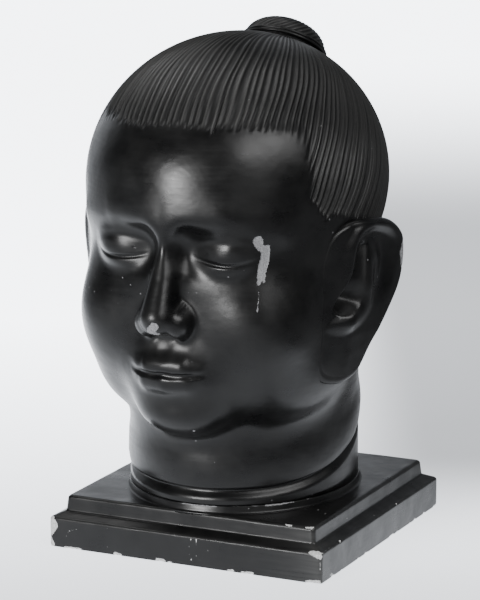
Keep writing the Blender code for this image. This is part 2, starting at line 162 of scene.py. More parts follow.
# Neck
NECK_HALF_WIDTH = 29.6
NECK_HALF_DEPTH = 33.2
NECK_CENTRE_Y = -1.6
NECK_ROUNDNESS = 2.0
NECK_TOP = 44.0
NECK_TOP_BLEND = 16.0
NECK_BLEND = 5.0
FOLD_THROAT = (-40.0, -14.6)
FOLD_NAPE = (32.0, 0.8)
FOLD_EASE = 1.4
FOLD_DEPTH = 1.3
FOLD_OVER = 0.9
FOLD_UNDER = 2.3
FOLD_ROLL = 0.6
ROLL_RISE = 5.0
ROLL_HALF_WIDTH = 6.5
FOOT = -18.3

# Hair
HAIR_GROOVES = 160
FRINGE = 79.8
HAIR_EDGE = (
    (-31.0, 64.0), (-25.0, 56.8), (-15.5, 55.0), (-5.0, 52.0),
    (4.0, 47.0), (13.0, 38.0), (22.0, 29.0), (30.0, 25.0),
)
TEMPLE_Y = -27.5
TEMPLE_SLANT = (16.0, 3.5)
HAIR_FADE = 2.2
GROOVE_STEEPNESS = 0.56
HAIR_SEED = 11
WOBBLE = 0.22
LOCK_DEPTHS = (0.66, 1.0)
FRINGE_UNEVEN = 0.8
# Sway of the locks: size, waves down the hair and waves round it, and the degrees over which it ends
SWAYS = ((0.006, 0.09, 5.0), (0.004, 0.21, 13.0))
SWAY_END = 8.0
# Columns across one groove, as shares of its width, and how deep the channel is there
GROOVE_COLUMNS = (0.0, 0.24, 0.5, 0.76)
GROOVE_SHAPE = (0.0, 0.70, 1.0, 0.70)

# Rays and rows
FAN_Y = -5.0
FAN_Z = 52.0
FAN_REACH = 75.0
SLOPE_STEP = 0.05
MARCH_STEPS = 30
MARCH_CARE = 0.8
SEARCH_IN = 1.5
SEARCH_OUT = 0.3
HALVINGS = 12
FIRST_CONE = 9.0
CROWN_CONE = 83.0
LAST_CONE = 104.0
CROWN_ROWS = 34
FRINGE_ROWS = 28
TEMPLE_ROWS = 13
# Height at the front, at the back and of the rays' origin, and the rows down to the next line
FACE_ROWS = (
    (57.0, 11.2, 50.0, 40),
    (45.0, 10.6, 49.0, 22),
    (33.0, 10.2, 50.0, 17),
    (27.5, 9.8, 48.0, 42),
    (13.0, 8.8, 42.0, 17),
    (2.0, 8.0, 38.0, 5),
    (-2.0, 7.2, 32.0, 5),
    (-8.0, 5.0, 10.0, 3),
)
FOLD_ROWS = (3.0, 2.1, 1.4, 0.95, 0.75, 0.55, 0.35, 0.17, 0.0, -0.25, -0.6, -1.0, -1.5, -2.1, -2.7)
FOOT_ROWS = 3
FRONT_REACH = 41.0
BACK_REACH = 35.0
FACE_COLUMNS = 284
FACE_CROWDING = 2.5

# Ear
EAR_OUTLINE = (
    (-15.8, 55.4), (-8.2, 55.2), (-2.3, 53.7), (2.5, 49.8), (3.8, 44.5), (3.3, 39.8), (1.4, 35.2),
    (-2.9, 29.2), (-8.7, 22.0), (-12.6, 15.6), (-16.0, 13.8), (-19.8, 13.4), (-23.6, 14.8), (-25.6, 19.0),
    (-26.0, 25.0), (-26.0, 30.5), (-25.6, 35.5), (-25.0, 40.0), (-24.6, 44.0), (-24.0, 47.5),
    (-22.8, 51.0), (-20.2, 53.9),
)
EAR_MIDDLE = (-14.5, 37.0)
EAR_OFFSET = 37.0
EAR_FLARE = 0.28
EAR_FLARE_Y = -20.0
EAR_TUCK_START = -17.0
EAR_TUCK = 0.085
LOBE_TOP = 26.0
LOBE_TUCK = 0.14
EAR_THICKNESS = 3.0
EAR_ROOT = 28.0
EAR_COLUMNS = 220
EAR_RINGS = 50
CURVE_STEPS = 6
# Shares of the way to the ear's middle: the innermost ring, the edge ring and the back's last ring
EAR_INNERMOST = 0.97
EAR_EDGE = 0.075
EAR_BACK = 0.5
EAR_BACK_STEPS = (0.0, 0.25, 0.5, 0.75, 1.0)
EAR_BACK_CURVE = 1.5
EAR_RIM_TURN = 18.0
# The ear's plate eases into the cheek: how widely, its lift over the cheek's skin and its sink at the edge
SKIN_BLEND = 4.0
SKIN_LIFT = 0.03
SKIN_SINK = 0.10
SKIN_EDGE = 0.036
# Ear relief: each line's points as depth, height and rise, and the line's half-width
HELIX = (
    ((-20.8, 36.5, 0.0), (-19.5, 40.3, 0.3), (-18.3, 43.8, 0.7), (-17.7, 47.2, 1.0), (-16.7, 50.4, 1.15),
     (-14.6, 52.8, 1.25), (-11.0, 53.9, 1.3), (-6.5, 53.4, 1.25), (-2.0, 51.7, 1.0), (0.9, 48.9, 0.7),
     (2.2, 45.2, 0.35), (2.0, 40.0, 0.0)), 2.4,
)
SCAPHA = (
    ((-8.6, 50.4, -0.5), (-4.9, 48.2, -1.0), (-3.7, 45.2, -1.25), (-3.9, 42.1, -1.15), (-5.0, 39.0, -0.8),
     (-6.8, 35.8, -0.4), (-8.8, 32.4, 0.0)), 4.4,
)
ANTIHELIX = (
    ((-8.9, 49.9, 0.0), (-10.2, 47.2, 0.5), (-11.2, 44.2, 0.9), (-11.9, 41.2, 1.3), (-12.2, 38.2, 1.6),
     (-12.0, 35.4, 1.1), (-12.8, 33.0, 0.8), (-14.8, 31.4, 1.0), (-17.2, 30.4, 1.4), (-19.4, 29.7, 1.5),
     (-21.2, 29.9, 1.0), (-22.4, 31.0, 0.2)), 3.8,
)
BOWL_FRONT = (
    (-12.4, 50.8), (-14.2, 49.6), (-15.4, 47.0), (-16.3, 44.4), (-17.5, 42.0), (-18.9, 39.8), (-20.4, 37.4),
    (-21.7, 35.1), (-22.5, 32.9), (-22.0, 31.5),
)
BOWL_BACK = (
    (-22.0, 31.5), (-19.6, 31.0), (-16.8, 31.9), (-14.4, 33.6), (-13.4, 36.4), (-13.4, 39.6), (-12.8, 42.8),
    (-12.0, 46.0), (-11.2, 49.0), (-12.4, 50.8),
)
BOWL_DEPTH = 5.2
BOWL_FRONT_WALL = 1.7
BOWL_BACK_WALL = 4.4

# Chips in the paint: points along each with its radius there, in hundredths of the head's height
HEAD_CHIPS = (
    ((22.5, -40.6, 53.6, 1.3), (22.6, -40.1, 52.2, 1.05), (23.4, -39.1, 51.2, 0.9)),
    ((23.7, -38.8, 51.2, 1.2), (23.5, -38.6, 49.2, 1.15), (23.1, -39.0, 46.9, 1.3),
     (22.9, -39.5, 45.1, 1.05), (22.6, -40.4, 42.8, 0.5)),
    ((23.4, -39.2, 44.6, 0.55), (23.5, -39.5, 43.3, 0.35)),
    ((24.3, -38.5, 52.0, 0.42), (24.1, -38.4, 51.2, 0.55)),
    ((22.9, -40.9, 40.9, 0.0), (23.1, -41.6, 38.7, 0.04), (23.1, -42.4, 36.1, 0.12)),
    ((1.0, -55.4, 33.0, 1.15), (-0.4, -55.4, 31.2, 1.05), (1.6, -54.2, 30.4, 0.55)),
    ((5.5, -42.8, 3.5, 0.35), (5.7, -42.8, 3.4, 0.3)),
)
COLLAR_CHIPS = (
    ((-3.5, -35.0, -18.45, 0.1), (1.0, -35.1, -18.45, 0.16), (5.0, -34.7, -18.45, 0.27),
     (8.0, -34.1, -18.45, 0.15)),
    ((18.4, -28.0, -18.45, 0.26), (21.0, -25.5, -18.45, 0.3), (24.0, -21.6, -18.45, 0.12)),
    ((25.6, -18.8, -18.45, 0.06), (28.3, -11.5, -18.45, 0.1)),
    ((10.0, -33.3, -18.45, 0.02), (17.0, -29.1, -18.45, 0.04)),
)
EAR_CHIPS = (
    ((43.4, 2.6, 47.3, 0.9), (43.5, 2.7, 44.6, 1.55), (43.4, 2.7, 41.2, 0.9)),
    ((41.6, 0.0, 33.2, 0.35), (41.3, -1.2, 31.6, 0.3)),
)

# Chips and thin scratches in the paint of the plinth: points with a radius each, in millimetres
PLINTH_CHIPS = (
    ((-118.5, -119.5, 24.2, 2.6), (-115.0, -120.0, 18.0, 3.2), (-118.0, -119.5, 11.8, 2.4)),
    ((-119.0, -119.0, 7.0, 1.4), (-117.0, -119.5, 2.0, 2.2)),
    ((-106.0, -120.0, 0.5, 0.9), (-92.0, -120.0, 0.6, 1.2)),
    ((-60.0, -120.0, 1.2, 1.7), (-55.0, -120.0, 0.6, 1.2)),
    ((-22.0, -120.0, 1.2, 1.8), (-17.0, -120.0, 1.0, 1.6)),
    ((-12.5, -120.0, 0.4, 1.1), (-10.0, -120.0, 0.4, 1.0)),
    ((40.0, -120.0, 0.7, 0.9), (44.0, -120.0, 0.9, 1.4)),
    ((52.0, -120.0, 0.5, 1.0), (61.0, -120.0, 0.9, 1.6)),
    ((111.0, -119.0, 25.2, 2.0), (116.5, -118.5, 24.0, 3.0), (119.0, -119.0, 22.2, 2.2)),
    ((120.0, -116.0, 25.0, 0.7), (120.0, -100.0, 25.0, 0.6)),
    ((119.5, -119.5, 18.0, 0.5), (119.5, -119.5, 12.0, 0.8)),
    ((108.0, -120.0, 0.6, 1.5), (117.0, -119.5, 1.2, 2.4)),
    ((120.0, -100.0, 2.0, 1.3), (120.0, -98.5, 2.6, 1.0)),
    ((119.5, -82.0, 24.6, 1.1), (119.5, -81.2, 24.6, 1.1)),
    ((85.0, -108.0, 41.2, 0.8), (89.0, -108.0, 41.0, 1.0)),
    ((102.0, -107.5, 41.0, 1.1), (106.5, -106.5, 40.0, 1.5)),
    ((-67.2, -120.0, 19.0, 0.3), (-67.2, -120.0, 22.8, 0.4)),
    ((-67.2, -120.0, 6.0, 0.5), (-67.2, -120.0, 6.2, 0.5)),
    ((8.2, -120.0, 22.2, 0.6), (8.4, -120.0, 21.6, 0.4)),
    ((12.5, -120.0, 22.5, 0.5), (12.4, -120.0, 20.5, 0.3)),
    ((8.5, -120.0, 5.8, 0.7), (9.0, -120.0, 4.0, 0.5)),
)
PLINTH_SCRATCHES = (
    ((-104.5, -120.0, 9.8, 0.35), (-102.2, -120.0, 14.2, 0.35), (-99.0, -120.0, 16.0, 0.3),
     (-93.2, -120.0, 17.6, 0.2)),
    ((8.0, -120.0, 21.5, 0.2), (5.0, -120.0, 12.0, 0.2), (8.5, -120.0, 6.0, 0.2)),
    ((12.4, -120.0, 21.5, 0.2), (11.8, -120.0, 12.0, 0.2), (13.5, -120.0, 5.0, 0.2)),
    ((-67.2, -120.0, 22.5, 0.2), (-68.0, -120.0, 12.0, 0.1)),
)
CHIP_REACH = 0.004
CHIP_CUTS = 3
SURFACE_STEPS = 4
# Size of the bumps in a chip's outline and in its floor, and each piece's dent and roughness of outline
OUTLINE_BUMPS = 0.0045
FLOOR_BUMPS = 0.002
HEAD_DENT = (0.0005, 0.0003)
EAR_DENT = (0.0004, 0.0004)
COLLAR_DENT = (0.0002, 0.0003)
PLINTH_DENT = (0.0009, 0.0005)
# Chips scattered along the plinth's arrises: share at the bottom, radii there and at the top, and length
EDGE_CHIP_SEED = 7
EDGE_CHIPS = 46
LOW_SHARE = 0.75
LOW_RADII = (0.0005, 0.0016)
HIGH_RADII = (0.0003, 0.0009)
EDGE_CHIP_LENGTH = 0.005
EDGE_INSET = 0.0004
# Lighter paint, rubbed paint and a painted highlight: strength and reach from the front right corner and
# from the top edges
CORNER_WEAR_AND_HIGHLIGHT = 1.1
CORNER_WEAR_AND_HIGHLIGHT_REACH = 0.022
EDGE_WEAR_AND_HIGHLIGHT = 0.8
EDGE_WEAR_AND_HIGHLIGHT_REACH = 0.0013
WEAR_AND_HIGHLIGHT_BUMPS = 0.03

# Paint, with each noise's scale, detail and roughness
PAINT_DARK = (0.0024, 0.0024, 0.0025, 1.0)
PAINT_WORN = (0.0062, 0.0062, 0.0061, 1.0)
# Lighter paint: a painted highlight on the hair's crests and the knot's locks, and rubbed paint with a
# painted highlight on the plinth's edges
PAINT_RUB_AND_HIGHLIGHT = (0.040, 0.040, 0.039, 1.0)
PLINTH_PLASTER = ((0.50, 0.50, 0.49, 1.0), (0.24, 0.24, 0.24, 1.0))
HEAD_PLASTER = ((0.21, 0.21, 0.215, 1.0), (0.10, 0.10, 0.105, 1.0))
STREAK_STRETCH = (26.0, 26.0, 460.0)
STREAKS = (1.0, 2.0, 0.5)
CLOUDS = (38.0, 4.0, 0.55)
SWELL_STRETCH = (1.0, 1.0, 1.4)
SWELL = (62.0, 2.0, 0.45)
FINE = (900.0, 3.0, 0.6)
RAGGED = (700.0, 3.0, 0.65)
DUST_SCALE = 95.0
DUST_PATCHES = (17.0, 0.0)
PAINT_IOR = 1.42
PAINT_SPECULAR = 0.32

# Paper and sweep behind the object, in metres and degrees round from the front
PAPER_TONES = ((0.265, 0.27, 0.28, 1.0), (0.285, 0.29, 0.30, 1.0))
PAPER_LIGHT = (0.91, 0.945, 1.0, 1.0)
PAPER_ROUGHNESS = 0.9
PAPER_SPECULAR = 0.2
FLOOR_SIZE = 24.0
FLOOR_Z = -0.0004
SWEEP_Z = -0.0002
SWEEP_TURN = 5.0
SWEEP_RADIUS = 4.2
SWEEP_CURVE = 0.8
SWEEP_HEIGHT = 2.8
SWEEP_MIDDLE = 205.7
SWEEP_START = 115.0
SWEEP_END = 255.0

# Camera, in metres and degrees, at the photograph's angle
CLIP_END = 60.0
CAMERA_PLACE = (1.0525, -2.2008, 0.7429)
CAMERA_AZIMUTH = 25.69
CAMERA_RISE = 12.77
CAMERA_ROLL = -0.2127
PHOTO_HEIGHT_PX = 600
FOCAL_PX = 3086.0
SENSOR_MM = 36.0

# Light: azimuth and rise in degrees, distance, width and height in metres, and power in watts
LAMP_CENTRE = (0.0, 0.0, 0.22)
LAMPS = (
    ("key", -12.0, 11.5, 1.9, 0.64, 0.56, 54.0),
    ("side", 68.0, 39.0, 2.6, 2.0, 1.0, 60.0),
    ("side_low", 54.0, 13.0, 2.6, 1.0, 0.8, 4.0),
    ("hair", -105.0, 66.0, 2.2, 1.0, 0.7, 15.0),
    ("top", 165.0, 72.0, 2.4, 1.4, 0.8, 8.0),
)
WORLD_TINT = (0.93, 0.95, 1.0, 1.0)
WORLD_LIGHT = 0.06


def smooth_min(a, b, blend):
    """The lower of two fields, rounded over where they meet."""
    h = np.maximum(blend - np.abs(a - b), 0.0) / blend
    return np.minimum(a, b) - h ** 3 * blend / 6.0


def smooth_max(a, b, blend):
    return -smooth_min(-a, -b, blend)


def hump(x, half):
    """1 in the middle and 0 from half outwards."""
    return (1.0 - np.clip(np.abs(x) / half, 0.0, 1.0) ** 2) ** 2


def smooth_step(share):
    share = np.clip(share, 0.0, 1.0)
    return share * share * (3.0 - 2.0 * share)


def round_angles(count):
    """Evenly spaced angles all the way round."""
    return np.arange(count) * 2.0 * math.pi / count


def ellipsoid(p, mass):
    """Distance to a mass, an ellipsoid turned about Z."""
    centre, half_sizes, yaw, _ = mass
    q = p - np.array(centre)
    c, s = math.cos(math.radians(yaw)), math.sin(math.radians(yaw))
    q = np.stack([c * q[:, 0] + s * q[:, 1], -s * q[:, 0] + c * q[:, 1], q[:, 2]], 1)
    half = np.array(half_sizes)
    k0 = np.linalg.norm(q / half, axis=1)
    k1 = np.linalg.norm(q / half ** 2, axis=1)
    return k0 * (k0 - 1.0) / np.maximum(k1, 1e-9)


def ridge(p, line):
    """Distance to round cones strung along a line of points."""
    nearest = np.full(len(p), np.inf)
    for (a, radius_a), (b, radius_b) in zip(line, line[1:]):
        start, run = np.array(a), np.array(b) - np.array(a)
        t = np.clip(((p - start) @ run) / (run @ run), 0.0, 1.0)
        away = np.linalg.norm(p - start - t[:, None] * run, axis=1)
        nearest = np.minimum(nearest, away - radius_a - (radius_b - radius_a) * t)
    return nearest


def fold_height(y):
    """Height of the neck's fold, level at the throat and climbing towards the nape."""
    share = np.clip((y - FOLD_THROAT[0]) / (FOLD_NAPE[0] - FOLD_THROAT[0]), 0.0, 1.0)
    return FOLD_THROAT[1] + (FOLD_NAPE[1] - FOLD_THROAT[1]) * smooth_step(share ** FOLD_EASE)


def neck_field(p):
    x = np.abs(p[:, 0]) / NECK_HALF_WIDTH
    y = np.abs(p[:, 1] - NECK_CENTRE_Y) / NECK_HALF_DEPTH
    n = NECK_ROUNDNESS
    field = ((x ** n + y ** n) ** (1.0 / n) - 1.0) * NECK_HALF_WIDTH
    above = p[:, 2] - fold_height(p[:, 1])
    field = field + FOLD_DEPTH * np.where(above > 0.0, hump(above, FOLD_OVER), hump(above, FOLD_UNDER))
    field = field - FOLD_ROLL * hump(above - ROLL_RISE, ROLL_HALF_WIDTH)
    return smooth_max(field, p[:, 2] - NECK_TOP, NECK_TOP_BLEND)


def add_mass(field, p, mass):
    return smooth_min(field, ellipsoid(p, mass), mass[3])


def sink_mass(field, p, mass):
    return smooth_max(field, -ellipsoid(p, mass), mass[3])


def add_ridge(field, p, line):
    return smooth_min(field, ridge(p, line[0]), line[1])


def head_field(p, hollow=True):
    """Below 0 inside the head, above 0 outside it. The head is its own mirror image in X."""
    m = np.stack([np.hypot(p[:, 0], MIRROR_EASE), p[:, 1], p[:, 2]], 1)
    field = ellipsoid(m, CRANIUM)
    for mass in (FACE, JAW, CHIN, CHEEK, MUZZLE):
        field = add_mass(field, m, mass)
    field = smooth_min(field, neck_field(m), NECK_BLEND)
    field = add_ridge(field, m, BROW)
    field = sink_mass(field, m, SOCKET)
    field = add_ridge(field, m, NOSE)
    field = sink_mass(field, m, INNER_SOCKET)
    field = add_mass(field, m, NOSE_WING)
    field = sink_mass(field, m, NOSTRIL)
    field = add_ridge(field, m, UPPER_LIP)
    field = add_ridge(field, m, LOWER_LIP)
    if hollow:
        field = sink_mass(field, m, EAR_HOLLOW)
    return field


def normals(p):
    """Outward direction of the field at each point."""
    slope = [head_field(p + SLOPE_STEP * e) - head_field(p - SLOPE_STEP * e) for e in np.eye(3)]
    slope = np.stack(slope, 1)
    return slope / np.maximum(np.linalg.norm(slope, axis=1, keepdims=True), 1e-9)


def march(origins, ways, field=head_field):
    """Outermost points of the head on each ray, marched in from outside and then halved."""
    out = np.full(len(ways), FAN_REACH)
    for _ in range(MARCH_STEPS):
        out = out - MARCH_CARE * np.maximum(field(origins + ways * out[:, None]), 0.0)
    near, far = out - SEARCH_IN, out + SEARCH_OUT
    for _ in range(HALVINGS):
        middle = (near + far) / 2
        inside = field(origins + ways * middle[:, None]) < 0.0
        near, far = np.where(inside, middle, near), np.where(inside, far, middle)
    return origins + ways * middle[:, None]


def cast(cones):
    """Points of the head on cones of rays, each given as tilt, half-angle, origin's height and angles."""
    origins, ways = [], []
    for tilt, half_angle, origin_z, angles in cones:
        t, a = math.radians(tilt), math.radians(half_angle)
        axis = np.array([0.0, math.sin(t), math.cos(t)])
        fore = np.array([0.0, -math.cos(t), math.sin(t)])
        across = np.cos(angles)[:, None] * fore + np.sin(angles)[:, None] * np.array([1.0, 0.0, 0.0])
        ways.append(math.cos(a) * axis + math.sin(a) * across)
        origins.append(np.tile((0.0, FAN_Y, origin_z), (len(angles), 1)))
    return march(np.concatenate(origins), np.concatenate(ways))


def hair_depth(p):
    """How far inside the hair's edge a point is."""
    fall, run = TEMPLE_SLANT
    behind = p[:, 1] - TEMPLE_Y + run * np.clip((FRINGE - p[:, 2]) / fall, 0.0, 1.0)
    edge = np.interp(p[:, 1], [q[0] for q in HAIR_EDGE], [q[1] for q in HAIR_EDGE])
    side = np.minimum(behind, p[:, 2] - edge)
    return np.maximum(p[:, 2] - FRINGE, side)


def carve_hair(p, cut_share, spacing, depth, uneven):
    """Gouges the channels between the locks. cut_share is 1 along a channel and 0 on a crest.

    Also gives how far each point is inside the hair, from 0 to 1.
    """
    fade = np.clip((hair_depth(p) + uneven) / HAIR_FADE, 0.0, 1.0)
    full = np.minimum(depth, GROOVE_STEEPNESS * spacing)
    cut = full * np.maximum(cut_share - (1.0 - fade), 0.0)
    return p - normals(p) * cut[:, None], fade


def carve_face(p):
    """Lids, lips and chin: fine lines that sink into the face."""
    x = np.abs(p[:, 0])
    z = p[:, 2]
    front = np.clip((FACE_FRONT - p[:, 1]) / FACE_EASE, 0.0, 1.0)
    sink = np.zeros(len(p))
    for depth, middle, height, wide, tall in FACE_ROUNDS:
        sink += depth * hump(np.hypot((x - middle) / wide, (z - height) / tall), 1.0)
    for depth, middle, half, height, curve, bend, tall in FACE_LINES:
        line = height + curve * ((x - bend) / LINE_SPREAD) ** 2
        sink += depth * hump(x - middle, half) * hump(z - line, tall)
    bow = MOUTH_BOW * np.cos(x * BOW_PITCH) * hump(x, BOW_HALF_WIDTH)
    mouth = MOUTH_HEIGHT + bow + MOUTH_CURL * (x / MOUTH_HALF_WIDTH) ** 4
    ends = np.clip((MOUTH_END - x) / MOUTH_FADE, 0.0, 1.0)
    sink += MOUTH_DEPTH * ends * hump(z - mouth, MOUTH_HALF_HEIGHT)
    place_x, place_z = CHEEK_FOLD_PLACE
    fold = hump(x - (place_x + (place_z - z) * CHEEK_FOLD_SLANT), CHEEK_FOLD_HALF_WIDTH)
    above_foot = np.clip((z - CHEEK_FOLD_FOOT[0]) / CHEEK_FOLD_FOOT[1], 0.0, 1.0)
    below_top = np.clip((CHEEK_FOLD_TOP[0] - z) / CHEEK_FOLD_TOP[1], 0.0, 1.0)
    sink += CHEEK_FOLD * fold * above_foot * below_top
    sink = sink * front
    drawn = np.abs(sink) > 1e-4
    moved = p.copy()
    moved[drawn] -= normals(p[drawn]) * sink[drawn, None]
    return moved


def face_angles():
    """Columns round the face and neck, crowded towards the nose."""
    share = np.arange(1, FACE_COLUMNS // 2) / (FACE_COLUMNS // 2)
    right = math.pi * np.sinh(FACE_CROWDING * share) / math.sinh(FACE_CROWDING)
    return np.concatenate([[0.0], right, [math.pi], 2.0 * math.pi - right[::-1]])


def hair_columns():
    """Angles, four to a groove, and how deep the channel is in each. Grooves vary a little in width."""
    rng = np.random.default_rng(HAIR_SEED)
    places = np.arange(HAIR_GROOVES) + rng.uniform(-WOBBLE, WOBBLE, HAIR_GROOVES)
    starts = places * 2.0 * math.pi / HAIR_GROOVES
    widths = np.diff(np.append(starts, starts[0] + 2.0 * math.pi))
    angles = (starts[:, None] + widths[:, None] * np.array(GROOVE_COLUMNS)).ravel()
    shares = np.tile(GROOVE_SHAPE, HAIR_GROOVES)
    depth = np.repeat(rng.uniform(*LOCK_DEPTHS, HAIR_GROOVES), len(GROOVE_COLUMNS))
    uneven = np.repeat(rng.uniform(-FRINGE_UNEVEN, FRINGE_UNEVEN, HAIR_GROOVES), len(GROOVE_COLUMNS))
    return angles - angles[0], shares * depth, uneven


def hair_rings():
    """Rings from the knot to below the hair's edge, and how far each point is in the hair and on a crest."""
    angles, shares, uneven = hair_columns()
    count = len(angles)
    phase = np.linspace(0.0, 2.0 * math.pi, count, endpoint=False)
    cones = np.concatenate([
        np.linspace(FIRST_CONE, CROWN_CONE, CROWN_ROWS, endpoint=False),
        np.linspace(CROWN_CONE, LAST_CONE, FRINGE_ROWS),
    ])
    rows = []
    for half_angle in cones:
        sway = sum(size * np.sin(half_angle * down + around * phase) for size, down, around in SWAYS)
        settle = min(1.0, (LAST_CONE - half_angle) / SWAY_END)
        rows.append((KNOT_TILT, half_angle, FAN_Z, angles + sway * settle))
    points = cast(rows).reshape(len(rows), count, 3)
    pitch = np.linalg.norm(points - np.roll(points, 1, 1), axis=2).sum(1) / HAIR_GROOVES
    spacing = np.repeat(pitch, count)
    carved, hair = carve_hair(points.reshape(-1, 3), np.tile(shares, len(rows)), spacing,
                              GROOVE_DEPTH / HUNDREDTH, np.tile(uneven, len(rows)))
    # How far each point is on a crest, which the paint lightens as a painted highlight
    crest = hair * np.tile(1.0 - shares, len(rows))
    return [(angles, ring) for ring in carved.reshape(len(rows), count, 3)], hair, crest


def cone_through(front, back, origin):
    """Tilt, half-angle and origin of the cone that meets the front and the back at those heights."""
    down_front = math.degrees(math.atan2(origin - front, FRONT_REACH))
    down_back = math.degrees(math.atan2(origin - back, BACK_REACH))
    return (down_back - down_front) / 2, 90.0 + (down_back + down_front) / 2, origin


def cone_rows():
    """Cones from the forehead to above the neck's fold."""
    rise = 90.0 - LAST_CONE
    first_front = FAN_Z + FRONT_REACH * math.tan(math.radians(rise + KNOT_TILT))
    first_back = FAN_Z + BACK_REACH * math.tan(math.radians(rise - KNOT_TILT))
    keys = ((first_front, first_back, FAN_Z, TEMPLE_ROWS),) + FACE_ROWS
    last = [fold_height(y) + FOLD_ROWS[0] for y in (FAN_Y - FRONT_REACH, FAN_Y + BACK_REACH, FAN_Y)]
    keys = keys + ((*last, 0),)
    rows = []
    for upper, lower in zip(keys, keys[1:]):
        for step in range(upper[3]):
            share = step / upper[3]
            rows.append([upper[k] + (lower[k] - upper[k]) * share for k in range(3)])
    return [cone_through(*row) for row in rows]


def neck_rings(angles):
    """Level rays to the neck, row by row along its fold and then down to its foot."""
    ways = np.column_stack([np.sin(angles), -np.cos(angles), np.zeros(len(angles))])
    y = FAN_Y - np.cos(angles) / np.hypot(np.sin(angles) / NECK_HALF_WIDTH, np.cos(angles) / NECK_HALF_DEPTH)
    heights = [fold_height(y) + rise for rise in FOLD_ROWS]
    lowest = heights[-1]
    for step in range(1, FOOT_ROWS + 1):
        heights.append(lowest + (FOOT - lowest) * step / FOOT_ROWS)
    middle = np.zeros(len(angles))
    origins = np.concatenate([np.column_stack([middle, middle + FAN_Y, z]) for z in heights])
    points = march(origins, np.tile(ways, (len(heights), 1)))
    return points.reshape(len(heights), len(angles), 3)


def face_rings():
    """Rings of the face and neck, below the hair's."""
    angles = face_angles()
    rows = [(*row, angles) for row in cone_rows()[1:]]
    carved = carve_face(cast(rows)).reshape(len(rows), len(angles), 3)
    return [(angles, ring) for ring in np.concatenate([carved, neck_rings(angles)])]


def stitch(faces, upper_start, upper, lower_start, lower):
    """Faces between two rings. Rings with the same columns make squares, others make triangles."""
    around, below = len(upper), len(lower)
    if around == below:
        for i in range(around):
            j = (i + 1) % around
            faces.append((upper_start + i, lower_start + i, lower_start + j, upper_start + j))
        return
    i, j = 0, 0
    upper = np.append(upper, 2.0 * math.pi)
    lower = np.append(lower, 2.0 * math.pi)
    while i < around or j < below:
        a, b = upper_start + i % around, lower_start + j % below
        lead = lower[min(j + 1, below)] - upper[min(i + 1, around)]
        if j >= below or (i < around and lead > 0.0):
            faces.append((a, b, upper_start + (i + 1) % around))
            i += 1
        else:
            faces.append((a, b, lower_start + (j + 1) % below))
            j += 1


def loft(name, rings):
    """Closed mesh through rings of (angles, points), top to bottom, with flat ends."""
    points = np.concatenate([ring[1] for ring in rings])
    starts = np.cumsum([0] + [len(ring[0]) for ring in rings])
    faces = [tuple(range(len(rings[0][0])))]
    for k, (upper, lower) in enumerate(zip(rings, rings[1:])):
        stitch(faces, starts[k], upper[0], starts[k + 1], lower[0])
    faces.append(tuple(range(starts[-1] - 1, starts[-2] - 1, -1)))
    return solid(name, points, faces)


def solid(name, points, faces):
    """Smooth-shaded object from points and faces, with its faces turned outwards."""
    mesh = bpy.data.meshes.new(name)
    mesh.from_pydata(np.asarray(points).tolist(), [], faces)
    work = bmesh.new()
    work.from_mesh(mesh)
    bmesh.ops.recalc_face_normals(work, faces=work.faces)
    work.to_mesh(mesh)
    work.free()
    mesh.shade_smooth()
    made = bpy.data.objects.new(name, mesh)
    bpy.context.scene.collection.objects.link(made)
    return made


def head_to_world(p):
    """From hundredths of the head's height to metres, with the neck's foot on the plinth's collar."""
    foot_z = STEP_TOP + COLLAR_HEIGHT + JOINT_GAP
    return np.asarray(p) * HUNDREDTH + np.array([0.0, 0.0, foot_z - FOOT * HUNDREDTH])


def world_to_head(p):
    return (p - head_to_world(np.zeros(3))) / HUNDREDTH


def coordinates(target):
    """The mesh's points as an array."""
    mesh = target.data
    flat = np.empty(len(mesh.vertices) * 3)
    mesh.vertices.foreach_get("co", flat)
    return flat.reshape(-1, 3)


def point_normals(target):
    mesh = target.data
    flat = np.empty(len(mesh.vertices) * 3)
    mesh.vertex_normals.foreach_get("vector", flat)
    return flat.reshape(-1, 3)


def move_points(target, points):
    target.data.vertices.foreach_set("co", np.asarray(points).ravel())
    target.data.update()


def store(target, name, values):
    """Keeps a value at each point for the material to read."""
    layer = target.data.attributes.new(name, "FLOAT", "POINT")
    layer.data.foreach_set("value", np.asarray(values, dtype=np.float32))


def chip_distance(p, chips):
    """Distance in metres to the nearest chip's outline, below 0 inside it."""
    nearest = np.full(len(p), CHIP_REACH)
    for chip in chips:
        nearest = np.minimum(nearest, ridge(p, chip))
    return nearest


def ragged(p, size):
    """Slow bumps over space between -1 and 1, for edges that aren't smooth."""
    k = 2.0 * math.pi / size
    a = np.sin(k * p[:, 0] + 1.3 * np.sin(k * 1.7 * p[:, 2] + 0.4) + 0.7)
    b = np.sin(k * 1.31 * p[:, 1] + 1.1 * np.sin(k * 1.2 * p[:, 0] + 2.1) + 1.9)
    c = np.sin(k * 1.13 * p[:, 2] + 1.2 * np.sin(k * 1.5 * p[:, 1] + 4.0) + 3.1)
    return (a + b + c) / 3.0


def chip_away(target, chips, depth, rough):
    """Dents the mesh a little inside each chip and stores the distance to the chips' outline."""
    p = coordinates(target)
    away = chip_distance(p, chips) + rough * ragged(p, OUTLINE_BUMPS)
    inside = np.clip(-away / (1.5 * rough), 0.0, 1.0)
    uneven = 0.75 + 0.25 * ragged(p, FLOOR_BUMPS)
    move_points(target, p - point_normals(target) * (depth * inside * uneven)[:, None])
    store(target, "chip", away * 1000.0)


def no_chips(target):
    store(target, "chip", np.full(len(target.data.vertices), CHIP_REACH * 1000.0))


